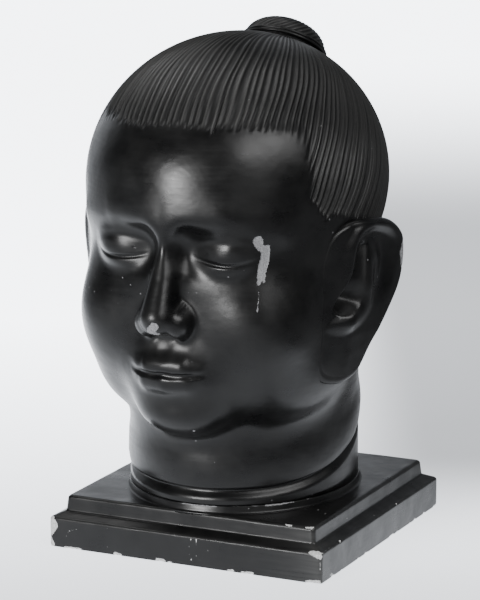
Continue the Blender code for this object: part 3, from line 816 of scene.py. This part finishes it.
def refine(target, chips):
    """Cuts the head's mesh finer round its chips and sets the new points on the head's surface."""
    near = chip_distance(coordinates(target), chips) < CHIP_REACH
    work = bmesh.new()
    work.from_mesh(target.data)
    edges = [e for e in work.edges if near[e.verts[0].index] and near[e.verts[1].index]]
    bmesh.ops.subdivide_edges(work, edges=edges, cuts=CHIP_CUTS, use_grid_fill=True)
    work.to_mesh(target.data)
    work.free()
    target.data.shade_smooth()
    points = coordinates(target)
    p = world_to_head(points[len(near):])
    for _ in range(SURFACE_STEPS):
        p = p - normals(p) * head_field(p)[:, None]
    points[len(near):] = head_to_world(carve_face(p))
    move_points(target, points)


def from_head(chips):
    """Chips given in hundredths of the head's height, in metres."""
    return [[(tuple(head_to_world(spot[:3])), spot[3] * HUNDREDTH) for spot in chip] for chip in chips]


def from_plinth(chips):
    """Chips given in millimetres, in metres."""
    return [[(tuple(0.001 * c for c in spot[:3]), 0.001 * spot[3]) for spot in chip] for chip in chips]


def head_carving():
    """Hair, face and neck."""
    rings, hair, crest = hair_rings()
    rings = [(angles, head_to_world(points)) for angles, points in rings + face_rings()]
    made = loft("head_carving", rings)
    rest = np.zeros(len(made.data.vertices) - len(hair))
    store(made, "hair", np.concatenate([hair, rest]))
    store(made, "crest", np.concatenate([crest, rest]))
    refine(made, from_head(HEAD_CHIPS))
    chip_away(made, from_head(HEAD_CHIPS), *HEAD_DENT)
    return made


def between(a, b, c, d, t):
    """Point a share t of the way from b to c, on a smooth curve through all four."""
    square = (2 * a - 5 * b + 4 * c - d) * t ** 2
    cube = (3 * b - a - 3 * c + d) * t ** 3
    return 0.5 * (2 * b + (c - a) * t + square + cube)


def closed_curve(points, count):
    """Evenly counted points on a smooth closed curve through the given ones."""
    p = np.array(points)
    at = np.arange(count) * len(p) / count
    i = np.floor(at).astype(int)
    return between(*(p[(i + k) % len(p)] for k in (-1, 0, 1, 2)), (at - i)[:, None])


def open_curve(points):
    """Points on a smooth curve through the given ones."""
    p = np.array(points)
    p = np.concatenate([[2 * p[0] - p[1]], p, [2 * p[-1] - p[-2]]])
    shares = np.arange(CURVE_STEPS) / CURVE_STEPS
    out = [between(*p[k - 1:k + 3], t) for k in range(1, len(p) - 2) for t in shares]
    return np.array(out + [p[-2]])


def line_distance(yz, line):
    """Distance from each point to a line in the plane, and what its third number is at the nearest place."""
    nearest = np.full(len(yz), np.inf)
    value = np.zeros(len(yz))
    for start, end in zip(line, line[1:]):
        run = end[:2] - start[:2]
        t = np.clip(((yz - start[:2]) @ run) / (run @ run), 0.0, 1.0)
        away = np.linalg.norm(yz - start[:2] - t[:, None] * run, axis=1)
        closer = away < nearest
        nearest = np.where(closer, away, nearest)
        value = np.where(closer, start[-1] + (end[-1] - start[-1]) * t, value)
    return nearest, value


def inside_loop(yz, loop):
    """True for the points inside a closed line."""
    inside = np.zeros(len(yz), bool)
    for a, b in zip(loop, np.roll(loop, -1, 0)):
        crosses = (a[1] > yz[:, 1]) != (b[1] > yz[:, 1])
        if crosses.any():
            at = a[0] + (yz[:, 1] - a[1]) * (b[0] - a[0]) / (b[1] - a[1])
            inside ^= crosses & (yz[:, 0] < at)
    return inside


def skin(yz):
    """How far the cheek and neck stand from the middle plane, with no ear."""
    origins = np.column_stack([np.zeros(len(yz)), yz])
    ways = np.tile((1.0, 0.0, 0.0), (len(yz), 1))
    return march(origins, ways, lambda p: head_field(p, False))[:, 0]


def ear_plate(yz):
    """How far the plain plate of the ear stands from the middle plane."""
    y, z = yz[:, 0], yz[:, 1]
    plate = EAR_OFFSET + EAR_FLARE * (y - EAR_FLARE_Y) - LOBE_TUCK * np.maximum(LOBE_TOP - z, 0.0)
    return plate - EAR_TUCK * np.maximum(EAR_TUCK_START - y, 0.0) ** 2


def ear_relief(yz):
    """The ear's carving: rolled rim, channel, inner ridge and bowl."""
    relief = np.zeros(len(yz))
    for points, half in (HELIX, SCAPHA, ANTIHELIX):
        away, rise = line_distance(yz, open_curve(points))
        relief += rise * hump(away, half)
    front, back = open_curve(BOWL_FRONT), open_curve(BOWL_BACK)
    from_front, _ = line_distance(yz, front)
    from_back, _ = line_distance(yz, back)
    bowl = smooth_step(from_front / BOWL_FRONT_WALL) * smooth_step(from_back / BOWL_BACK_WALL)
    return relief - BOWL_DEPTH * bowl * inside_loop(yz, np.concatenate([front[:-1], back[:-1]]))


def ear(name, side):
    """One ear: a carved plate that eases onto the cheek, with a rounded rim and a back. Side is 1 or -1."""
    outline = closed_curve(EAR_OUTLINE, EAR_COLUMNS)
    middle = np.array(EAR_MIDDLE)
    angles = round_angles(EAR_COLUMNS)
    half = EAR_THICKNESS / 2
    inward = np.linspace(EAR_INNERMOST, EAR_EDGE, EAR_RINGS)
    yz = (outline + (middle - outline) * inward[:, None, None]).reshape(-1, 2)
    edge_share = np.repeat(smooth_step(1.0 - (inward - EAR_EDGE) / SKIN_EDGE), EAR_COLUMNS)
    cheek = skin(yz) + SKIN_LIFT - SKIN_SINK * edge_share
    face = smooth_max(ear_plate(yz), cheek, SKIN_BLEND) + ear_relief(yz)
    front = np.column_stack([face, yz]).reshape(EAR_RINGS, EAR_COLUMNS, 3)
    rings = [(angles, ring) for ring in front]
    edge = front[-1, :, 1:]
    rim = front[-1, :, 0] - half
    for turn in np.radians(np.arange(EAR_RIM_TURN, 180.0, EAR_RIM_TURN)):
        flat = edge + (outline - edge) * math.sin(turn)
        rings.append((angles, np.column_stack([rim + half * math.cos(turn), flat])))
    back = np.minimum(ear_plate(edge), rim + half) - EAR_THICKNESS
    for share in EAR_BACK_STEPS:
        flat = edge + (middle - edge) * EAR_BACK * share
        rings.append((angles, np.column_stack([back + (EAR_ROOT - back) * share ** EAR_BACK_CURVE, flat])))
    made = loft(name, [(a, head_to_world(p * np.array([side, 1.0, 1.0]))) for a, p in rings])
    chip_away(made, from_head(EAR_CHIPS) if side > 0 else [], *EAR_DENT)
    return made


def knot_frame():
    """Where the knot sits on the crown, and its own axes."""
    seat = cast([(KNOT_TILT, 0.01, FAN_Z, np.array([0.0]))])[0]
    c, s = math.cos(math.radians(KNOT_TILT)), math.sin(math.radians(KNOT_TILT))
    return head_to_world(seat), np.array([1.0, 0.0, 0.0]), np.array([0.0, c, -s]), np.array([0.0, s, c])


def knot(name):
    """Topknot: a coiled dome with spiral grooves."""
    seat, across, along, up = knot_frame()
    count = KNOT_GROOVES * KNOT_COLUMNS_PER_GROOVE
    angles = round_angles(count)
    lock = np.abs(np.sin(angles * KNOT_GROOVES / 2.0))
    rng = np.random.default_rng(KNOT_SEED)
    lock_size = np.repeat(rng.uniform(*KNOT_LOCKS, KNOT_GROOVES), KNOT_COLUMNS_PER_GROOVE)
    foot = CORDS_RISE * CORD_RADIUS
    rings = []
    for a in np.radians(KNOT_TURNS):
        groove = KNOT_GROOVE_DEPTH * math.cos(a) ** KNOT_FADE
        twist = KNOT_TWIST * math.sin(a)
        reach = (KNOT_RADIUS - KNOT_INSET) * math.cos(a) ** KNOT_FULLNESS - groove * (1.0 - lock) * lock_size
        height = foot + (KNOT_HEIGHT - foot) * math.sin(a)
        flat = np.cos(angles + twist)[:, None] * across + np.sin(angles + twist)[:, None] * along
        rings.append((angles, seat + flat * reach[:, None] + up * height))
    for inset, height in KNOT_ROOT:
        flat = np.cos(angles)[:, None] * across + np.sin(angles)[:, None] * along
        rings.append((angles, seat + flat * (KNOT_RADIUS - inset) + up * height))
    made = loft(name, rings)
    no_chips(made)
    store(made, "hair", np.ones(len(made.data.vertices)))
    # Lighter paint on the locks' crests: a painted highlight
    rub_and_highlight = np.tile(lock ** 2 * KNOT_HIGHLIGHT, len(KNOT_TURNS))
    store(made, "crest", np.concatenate([rub_and_highlight, np.zeros(len(KNOT_ROOT) * count)]))
    return made


def cords(name):
    """Two thin cords round the knot's foot, lying on the hair."""
    seat, across, along, up = knot_frame()
    points, faces = [], []
    for outside, lift in CORDS:
        start = len(points)
        for a in round_angles(CORD_COLUMNS):
            out = math.cos(a) * across + math.sin(a) * along
            for b in round_angles(CORD_SIDES):
                reach = KNOT_RADIUS + outside + CORD_RADIUS * math.cos(b)
                points.append(seat + out * reach + up * CORD_RADIUS * (lift + math.sin(b)))
        for i in range(CORD_COLUMNS):
            here = start + i * CORD_SIDES
            there = start + (i + 1) % CORD_COLUMNS * CORD_SIDES
            for j in range(CORD_SIDES):
                k = (j + 1) % CORD_SIDES
                faces.append((here + j, here + k, there + k, there + j))
    made = solid(name, points, faces)
    no_chips(made)
    return made


def square_ring(half, radius, z):
    """Ring of points round a square with rounded corners, evenly spaced along its sides."""
    straight = half - radius
    points = []
    for a in round_angles(4):
        out = np.array([math.cos(a), math.sin(a)])
        along = np.array([-math.sin(a), math.cos(a)])
        for t in np.linspace(-1.0, 1.0, PLINTH_COLUMNS_PER_SIDE, endpoint=False):
            points.append(out * half + along * straight * t)
        for step in range(CORNER_STEPS):
            b = math.pi / 2 * step / CORNER_STEPS
            points.append(out * straight + along * straight
                          + radius * (out * math.cos(b) + along * math.sin(b)))
    flat = np.array(points)
    return np.column_stack([flat, np.full(len(flat), z)])


def arc(x, z, radius, turns):
    """Points on a circle in the profile plane, at angles in degrees."""
    return [(x + radius * math.cos(t), z + radius * math.sin(t)) for t in np.radians(turns)]


def plinth_profile():
    """Half-size and height, from the underside to the top of the step, with rounded arrises."""
    half = PLINTH_SIDE / 2
    step_half = half - STEP_FOOT_INSET
    ledge = SLAB_HEIGHT + LEDGE_RISE
    arris, cove = ARRIS_RADIUS, COVE_RADIUS
    corners = [(half - UNDER_ARRIS, 0.0)]
    corners += arc(half - UNDER_ARRIS, UNDER_ARRIS, UNDER_ARRIS, (-60.0, -30.0, 0.0))
    corners += arc(half - arris, SLAB_HEIGHT - arris, arris, np.linspace(0.0, 78.0, 7))
    corners += arc(step_half + cove, ledge + cove, cove, np.linspace(262.0, 182.0, 6))
    corners += arc(step_half - STEP_DRAFT - arris, STEP_TOP - arris, arris, np.linspace(0.0, 90.0, 7))
    profile = []
    for start, end in zip(corners, corners[1:]):
        steps = max(1, round(math.dist(start, end) / PLINTH_ROW_PITCH))
        for k in range(steps):
            profile.append(tuple(a + (b - a) * k / steps for a, b in zip(start, end)))
    profile.append(corners[-1])
    return profile + [(corners[-1][0] * share, STEP_TOP) for share in TOP_SHARES]


def edge_chips():
    """Small chips scattered along the plinth's bottom and top arrises."""
    rng = np.random.default_rng(EDGE_CHIP_SEED)
    half = PLINTH_SIDE / 2
    chips = []
    for _ in range(EDGE_CHIPS):
        side = rng.integers(1, 4)
        along = rng.uniform(-1.0, 1.0) * half
        low = rng.uniform() < LOW_SHARE
        radius = rng.uniform(*(LOW_RADII if low else HIGH_RADII))
        length = rng.uniform(0.0, EDGE_CHIP_LENGTH)
        z = EDGE_INSET if low else SLAB_HEIGHT - 2.0 * EDGE_INSET
        a = math.pi / 2 * (side - 1)
        out, run = np.array([math.cos(a), math.sin(a), 0.0]), np.array([-math.sin(a), math.cos(a), 0.0])
        start = out * (half - EDGE_INSET) + run * along + np.array([0.0, 0.0, z])
        end = start + run * (length + 0.0005)
        chips.append(((tuple(start), radius), (tuple(end), radius * 0.6)))
    return chips


def plinth_wear_and_highlight(p):
    """How much lighter the paint is, rubbed paint and a painted highlight: near the front right corner, and
    along the slab's and the step's top edges.
    """
    half = PLINTH_SIDE / 2
    corner = np.hypot(p[:, 0] - half, p[:, 1] + half)
    wear_and_highlight = CORNER_WEAR_AND_HIGHLIGHT * np.exp(-corner / CORNER_WEAR_AND_HIGHLIGHT_REACH)
    outer = np.maximum(np.abs(p[:, 0]), np.abs(p[:, 1]))
    patchy = 0.6 + 0.4 * ragged(p, WEAR_AND_HIGHLIGHT_BUMPS)
    step_half = half - STEP_FOOT_INSET - STEP_DRAFT
    for out, up in ((half, SLAB_HEIGHT), (step_half, STEP_TOP)):
        away = np.hypot(outer - out, p[:, 2] - up)
        wear_and_highlight = np.maximum(wear_and_highlight, EDGE_WEAR_AND_HIGHLIGHT * np.exp(-away / EDGE_WEAR_AND_HIGHLIGHT_REACH) * patchy)
    return wear_and_highlight


def plinth_carving():
    """Slab and step with rounded arrises, slightly uneven faces and chipped edges."""
    angles = round_angles(4 * (PLINTH_COLUMNS_PER_SIDE + CORNER_STEPS))
    profile = reversed(plinth_profile())
    made = loft("plinth_carving", [(angles, square_ring(half, CORNER_RADIUS, z)) for half, z in profile])
    p = coordinates(made)
    start = np.clip((p[:, 2] - UNEVEN_START) / UNEVEN_EASE, 0.0, 1.0)
    sink = UNEVEN_HEIGHT * ragged(p, UNEVEN_SIZE) * start + UNEVEN_SINK
    move_points(made, p - point_normals(made) * np.maximum(sink, 0.0)[:, None])
    chip_away(made, from_plinth(PLINTH_CHIPS) + edge_chips(), *PLINTH_DENT)
    p = coordinates(made)
    store(made, "scratch", chip_distance(p, from_plinth(PLINTH_SCRATCHES)) * 1000.0)
    # Lighter paint at the top edges and the front right corner: rubbed paint and a painted highlight
    store(made, "wear_and_highlight", plinth_wear_and_highlight(p))
    return made


def neck_outline(margin, count):
    """The neck's oval at its foot, in metres, widened by a margin."""
    a = round_angles(count)
    power = 2.0 / NECK_ROUNDNESS
    x = np.sign(np.cos(a)) * np.abs(np.cos(a)) ** power * (NECK_HALF_WIDTH * HUNDREDTH + margin)
    y = np.sign(np.sin(a)) * np.abs(np.sin(a)) ** power * (NECK_HALF_DEPTH * HUNDREDTH + margin)
    return x, y + NECK_CENTRE_Y * HUNDREDTH


def collar_carving():
    """Low riser under the neck, with a softened top edge and a filleted foot."""
    upper, foot = STEP_TOP + COLLAR_HEIGHT, COLLAR_MARGIN + COLLAR_DRAFT
    arris, fillet = COLLAR_ARRIS, COLLAR_FILLET
    angles = round_angles(COLLAR_COLUMNS)
    rings = []
    profile = [(COLLAR_MARGIN - COLLAR_OVERLAP, upper)]
    profile += arc(COLLAR_MARGIN - arris, upper - arris, arris, (90.0, 60.0, 30.0, 0.0))
    profile += [(COLLAR_MARGIN + COLLAR_DRAFT * 0.5, STEP_TOP + COLLAR_WAIST)]
    profile += arc(foot + fillet, STEP_TOP + fillet, fillet, (190.0, 220.0, 245.0, 268.0))
    profile += [(foot + fillet, STEP_TOP - COLLAR_ROOT)]
    for margin, z in profile:
        x, y = neck_outline(margin, COLLAR_COLUMNS)
        rings.append((angles, np.column_stack([x, y, np.full(COLLAR_COLUMNS, z)])))
    made = loft("collar_carving", rings)
    chip_away(made, from_head(COLLAR_CHIPS), *COLLAR_DENT)
    return made


class Nodes:
    """Short hand for building a material's node tree."""

    def __init__(self, material):
        material.use_nodes = True
        self.tree = material.node_tree
        self.shader = self.tree.nodes["Principled BSDF"]

    def add(self, kind, settings=None, **inputs):
        node = self.tree.nodes.new(kind)
        for key, value in (settings or {}).items():
            setattr(node, key, value)
        for key, value in inputs.items():
            self.put(node, key.replace("_", " "), value)
        return node

    def put(self, node, socket, value):
        numbered = socket[0] == "i" and socket[1:].isdigit()
        target = node.inputs[int(socket[1:]) if numbered else socket]
        if hasattr(value, "is_output"):
            self.tree.links.new(value, target)
        else:
            target.default_value = value

    def maths(self, operation, a, b=0.0):
        return self.add("ShaderNodeMath", {"operation": operation}, i0=a, i1=b).outputs[0]

    def distance_along(self, where, axis):
        """How far a place is along a direction."""
        node = self.add("ShaderNodeVectorMath", {"operation": "DOT_PRODUCT"}, i0=where, i1=axis)
        return node.outputs["Value"]

    def noise(self, vector, scale, detail=3.0, roughness=0.5):
        node = self.add("ShaderNodeTexNoise", Scale=scale, Detail=detail, Roughness=roughness, Vector=vector)
        return node.outputs[0]

    def stretched(self, scale):
        """Object coordinates scaled by each axis."""
        where = self.tree.nodes.new("ShaderNodeTexCoord")
        mapping = self.add("ShaderNodeMapping", Vector=where.outputs["Object"], Scale=scale)
        return mapping.outputs[0]

    def ramp(self, value, low, high, out_low=0.0, out_high=1.0, way="LINEAR"):
        node = self.add("ShaderNodeMapRange", {"interpolation_type": way}, Value=value, From_Min=low,
                        From_Max=high, To_Min=out_low, To_Max=out_high)
        return node.outputs[0]

    def ease(self, value, low, high):
        """0 at low and 1 at high, slow at both ends."""
        return self.ramp(value, low, high, way="SMOOTHSTEP")

    def mix(self, share, a, b):
        return self.add("ShaderNodeMix", {"data_type": "RGBA"}, i0=share, i6=a, i7=b).outputs[2]

    def value_of(self, name):
        node = self.tree.nodes.new("ShaderNodeAttribute")
        node.attribute_name = name
        return node.outputs["Fac"]

    def bump(self, height, strength, distance, below=None):
        node = self.add("ShaderNodeBump", Strength=strength, Distance=distance, Height=height)
        if below is not None:
            self.put(node, "Normal", below)
        return node.outputs[0]


def black_paint(name, plaster, scratches=False):
    """Satin black paint, brushed round the form, with chips down to pale plaster and a few dust specks."""
    material = bpy.data.materials.new(name)
    n = Nodes(material)
    even = n.stretched((1.0, 1.0, 1.0))
    hair = n.value_of("hair")
    crest = n.value_of("crest")
    streaks = n.noise(n.stretched(STREAK_STRETCH), *STREAKS)
    clouds = n.noise(even, *CLOUDS)
    swell = n.noise(n.stretched(SWELL_STRETCH), *SWELL)
    fine = n.noise(even, *FINE)
    ragged_edge = n.noise(even, *RAGGED)
    paint = n.mix(n.ramp(clouds, 0.35, 0.75), PAINT_DARK, PAINT_WORN)
    # Lighter paint on the hair's crests and the knot's locks: a painted highlight
    rub_and_highlight = n.maths("MULTIPLY", n.ramp(crest, 0.45, 1.0), n.ramp(fine, 0.3, 0.6, 0.6, 1.0))
    if scratches:
        # Lighter paint along the plinth's top edges and front right corner: rubbed paint and a painted
        # highlight
        worn_and_highlight = n.maths("MULTIPLY", n.value_of("wear_and_highlight"), n.ramp(streaks, 0.25, 0.75, 0.35, 1.0))
        rub_and_highlight = n.maths("MAXIMUM", rub_and_highlight, worn_and_highlight)
    paint = n.mix(rub_and_highlight, paint, PAINT_RUB_AND_HIGHLIGHT)
    edge = n.maths("ADD", n.value_of("chip"), n.ramp(ragged_edge, 0.2, 0.8, -0.65, 0.60))
    chipped = n.ramp(edge, 0.05, -0.05)
    if scratches:
        line = n.maths("ADD", n.value_of("scratch"), n.ramp(ragged_edge, 0.2, 0.8, -0.30, 0.45))
        chipped = n.maths("MAXIMUM", chipped, n.ramp(line, 0.12, -0.12, 0.0, 0.75))
    speck = n.add("ShaderNodeTexVoronoi", Scale=DUST_SCALE, Vector=even)
    rare = n.ramp(n.noise(even, *DUST_PATCHES), 0.60, 0.66)
    dust = n.maths("MULTIPLY", n.ramp(speck.outputs["Distance"], 0.075, 0.045), rare)
    pale = n.maths("MAXIMUM", chipped, n.maths("MULTIPLY", dust, 0.6))
    n.put(n.shader, "Base Color", n.mix(pale, paint, n.mix(n.ramp(fine, 0.3, 0.7), *plaster)))
    rough = n.maths("ADD", n.ramp(streaks, 0.3, 0.7, 0.27, 0.32), n.ramp(clouds, 0.3, 0.7, -0.03, 0.08))
    channel = n.maths("MULTIPLY", hair, n.maths("SUBTRACT", 1.0, crest))
    rough = n.maths("ADD", rough, n.maths("MULTIPLY", channel, 0.20))
    rough = n.maths("ADD", rough, n.maths("MULTIPLY", pale, 0.5))
    n.put(n.shader, "Roughness", rough)
    n.shader.inputs["IOR"].default_value = PAINT_IOR
    n.shader.inputs["Specular IOR Level"].default_value = PAINT_SPECULAR
    brushed = n.maths("MULTIPLY", streaks, n.maths("SUBTRACT", 1.0, hair))
    level = n.bump(swell, 0.5, 0.0006)
    level = n.bump(brushed, 0.07, 0.0002, level)
    level = n.bump(fine, 0.16, 0.0001, level)
    level = n.bump(n.maths("SUBTRACT", 1.0, chipped), 0.8, 0.0004, level)
    n.put(n.shader, "Normal", level)
    return material


def paper():
    """Pale studio paper that glows: painted light, brighter behind the object, with a painted shadow at its
    right.
    """
    material = bpy.data.materials.new("floor_paper")
    n = Nodes(material)
    where = n.tree.nodes.new("ShaderNodeNewGeometry").outputs["Position"]
    turn = math.radians(SWEEP_MIDDLE)
    behind = n.distance_along(where, (math.sin(turn), -math.cos(turn), 0.0))
    beside = n.distance_along(where, (-math.cos(turn), -math.sin(turn), 0.0))
    # Painted shadow of the object on the paper, at its right and behind it
    shade = n.maths("MULTIPLY", n.ease(beside, -0.04, 0.17), n.ease(behind, 2.7, 1.2))
    shade = n.maths("MULTIPLY", shade, n.ease(behind, -0.12, 0.22))
    shade = n.maths("MULTIPLY", shade, n.ease(beside, 1.4, 0.5))
    grain = n.noise(where, 3.0, 2.0)
    tone = n.mix(n.ramp(grain, 0.3, 0.7), *PAPER_TONES)
    n.put(n.shader, "Base Color", tone)
    n.shader.inputs["Roughness"].default_value = PAPER_ROUGHNESS
    n.shader.inputs["Specular IOR Level"].default_value = PAPER_SPECULAR
    n.shader.inputs["Emission Color"].default_value = PAPER_LIGHT
    # The paper's glow is painted light, strongest far behind the object
    glow = n.maths("ADD", n.ramp(behind, -0.45, -0.15, 0.0, 1.15), n.ramp(behind, -0.15, 0.75, 0.0, 4.3))
    glow = n.maths("MULTIPLY", glow, n.ease(n.maths("ABSOLUTE", beside), 0.90, 0.45))
    lit = n.maths("SUBTRACT", 1.0, n.maths("MULTIPLY", shade, 0.93))
    glow = n.maths("MULTIPLY", n.maths("ADD", glow, 0.35), lit)
    margin = n.maths("SUBTRACT", beside, n.maths("MULTIPLY", behind, 0.08))
    glow = n.maths("MULTIPLY", n.maths("ADD", glow, 0.36), n.ease(margin, 0.42, 0.24))
    height = n.add("ShaderNodeSeparateXYZ", Vector=where).outputs["Z"]
    wall = n.ease(height, 0.05, 0.5)
    # The sweep glows brighter at the left: painted light
    upper = n.maths("MULTIPLY", wall, n.ramp(beside, -0.3, 0.35, 1.0, 0.12))
    lower = n.maths("MULTIPLY", n.maths("SUBTRACT", 1.0, wall), glow)
    n.put(n.shader, "Emission Strength", n.maths("ADD", lower, upper))
    return material


def stage():
    """Pale floor, and a pale sweep that rises behind the object."""
    material = paper()
    bpy.ops.mesh.primitive_plane_add(size=FLOOR_SIZE, location=(0.0, 0.0, FLOOR_Z))
    floor = bpy.context.object
    floor.name = "floor"
    foot = SWEEP_RADIUS - SWEEP_CURVE
    sweep = [(foot + SWEEP_CURVE * math.sin(t), SWEEP_CURVE * (1.0 - math.cos(t)) + SWEEP_Z)
             for t in np.radians(np.arange(0.0, 91.0, 10.0))]
    sweep.append((SWEEP_RADIUS, SWEEP_HEIGHT))
    turns = np.radians(np.arange(SWEEP_START, SWEEP_END + 1.0, SWEEP_TURN))
    points = [(r * math.sin(a), -r * math.cos(a), z) for a in turns for r, z in sweep]
    across = len(sweep)
    faces = [(k * across + j, k * across + j + 1, (k + 1) * across + j + 1, (k + 1) * across + j)
             for k in range(len(turns) - 1) for j in range(across - 1)]
    mesh = bpy.data.meshes.new("backdrop")
    mesh.from_pydata(points, [], faces)
    mesh.shade_smooth()
    backdrop = bpy.data.objects.new("backdrop", mesh)
    bpy.context.scene.collection.objects.link(backdrop)
    for piece in (floor, backdrop):
        piece.data.materials.append(material)


def direction(azimuth, rise):
    """Way out from the object at an azimuth and a rise in degrees."""
    a, e = math.radians(azimuth), math.radians(rise)
    return Vector((math.sin(a) * math.cos(e), -math.cos(a) * math.cos(e), math.sin(e)))


def softbox(name, azimuth, rise, distance, width, height, power):
    """Area light that looks at the object's middle."""
    data = bpy.data.lights.new(name, "AREA")
    data.shape = "RECTANGLE"
    data.size = width
    data.size_y = height
    data.energy = power
    light = bpy.data.objects.new(name, data)
    bpy.context.scene.collection.objects.link(light)
    light.location = Vector(LAMP_CENTRE) + direction(azimuth, rise) * distance
    away = light.location - Vector(LAMP_CENTRE)
    light.rotation_mode = "QUATERNION"
    light.rotation_quaternion = away.to_track_quat("Z", "Y")


def studio():
    """Soft light: a key box left of the camera, a wide one at its right, and faint ones low and above."""
    world = bpy.data.worlds.new("studio")
    world.use_nodes = True
    world.node_tree.nodes["Background"].inputs["Color"].default_value = WORLD_TINT
    world.node_tree.nodes["Background"].inputs["Strength"].default_value = WORLD_LIGHT
    bpy.context.scene.world = world
    for lamp in LAMPS:
        softbox(*lamp)


def photo_camera():
    """Camera at the photograph's angle, with its frame."""
    a = math.radians(CAMERA_AZIMUTH)
    back = direction(CAMERA_AZIMUTH, CAMERA_RISE)
    right = Vector((math.cos(a), math.sin(a), 0.0))
    up = back.cross(right)
    r = math.radians(CAMERA_ROLL)
    x_axis = math.cos(r) * right + math.sin(r) * up
    y_axis = -math.sin(r) * right + math.cos(r) * up
    data = bpy.data.cameras.new("photo_camera")
    data.sensor_width = SENSOR_MM
    data.sensor_fit = "AUTO"
    data.lens = FOCAL_PX * SENSOR_MM / PHOTO_HEIGHT_PX
    data.clip_end = CLIP_END
    camera = bpy.data.objects.new("photo_camera", data)
    bpy.context.scene.collection.objects.link(camera)
    turn = Matrix((x_axis, y_axis, back)).transposed()
    camera.matrix_world = Matrix.Translation(CAMERA_PLACE) @ turn.to_4x4()
    bpy.context.scene.camera = camera


def place(piece, node, material):
    """Gives a piece its material, puts it under the root body and hides the CAD node it stands for."""
    piece.data.materials.append(material)
    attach(piece, "root")
    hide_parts(node)


def main():
    head_paint = black_paint("head_black_paint", HEAD_PLASTER)
    head_pieces = (
        head_carving(), ear("left_ear", 1.0), ear("right_ear", -1.0),
        knot("topknot"), cords("knot_cords"),
    )
    for piece in head_pieces:
        place(piece, "head", head_paint)
    plinth_paint = black_paint("plinth_black_paint", PLINTH_PLASTER, scratches=True)
    place(plinth_carving(), "plinth", plinth_paint)
    place(collar_carving(), "plinth", head_paint)
    stage()
    studio()
    photo_camera()


main()
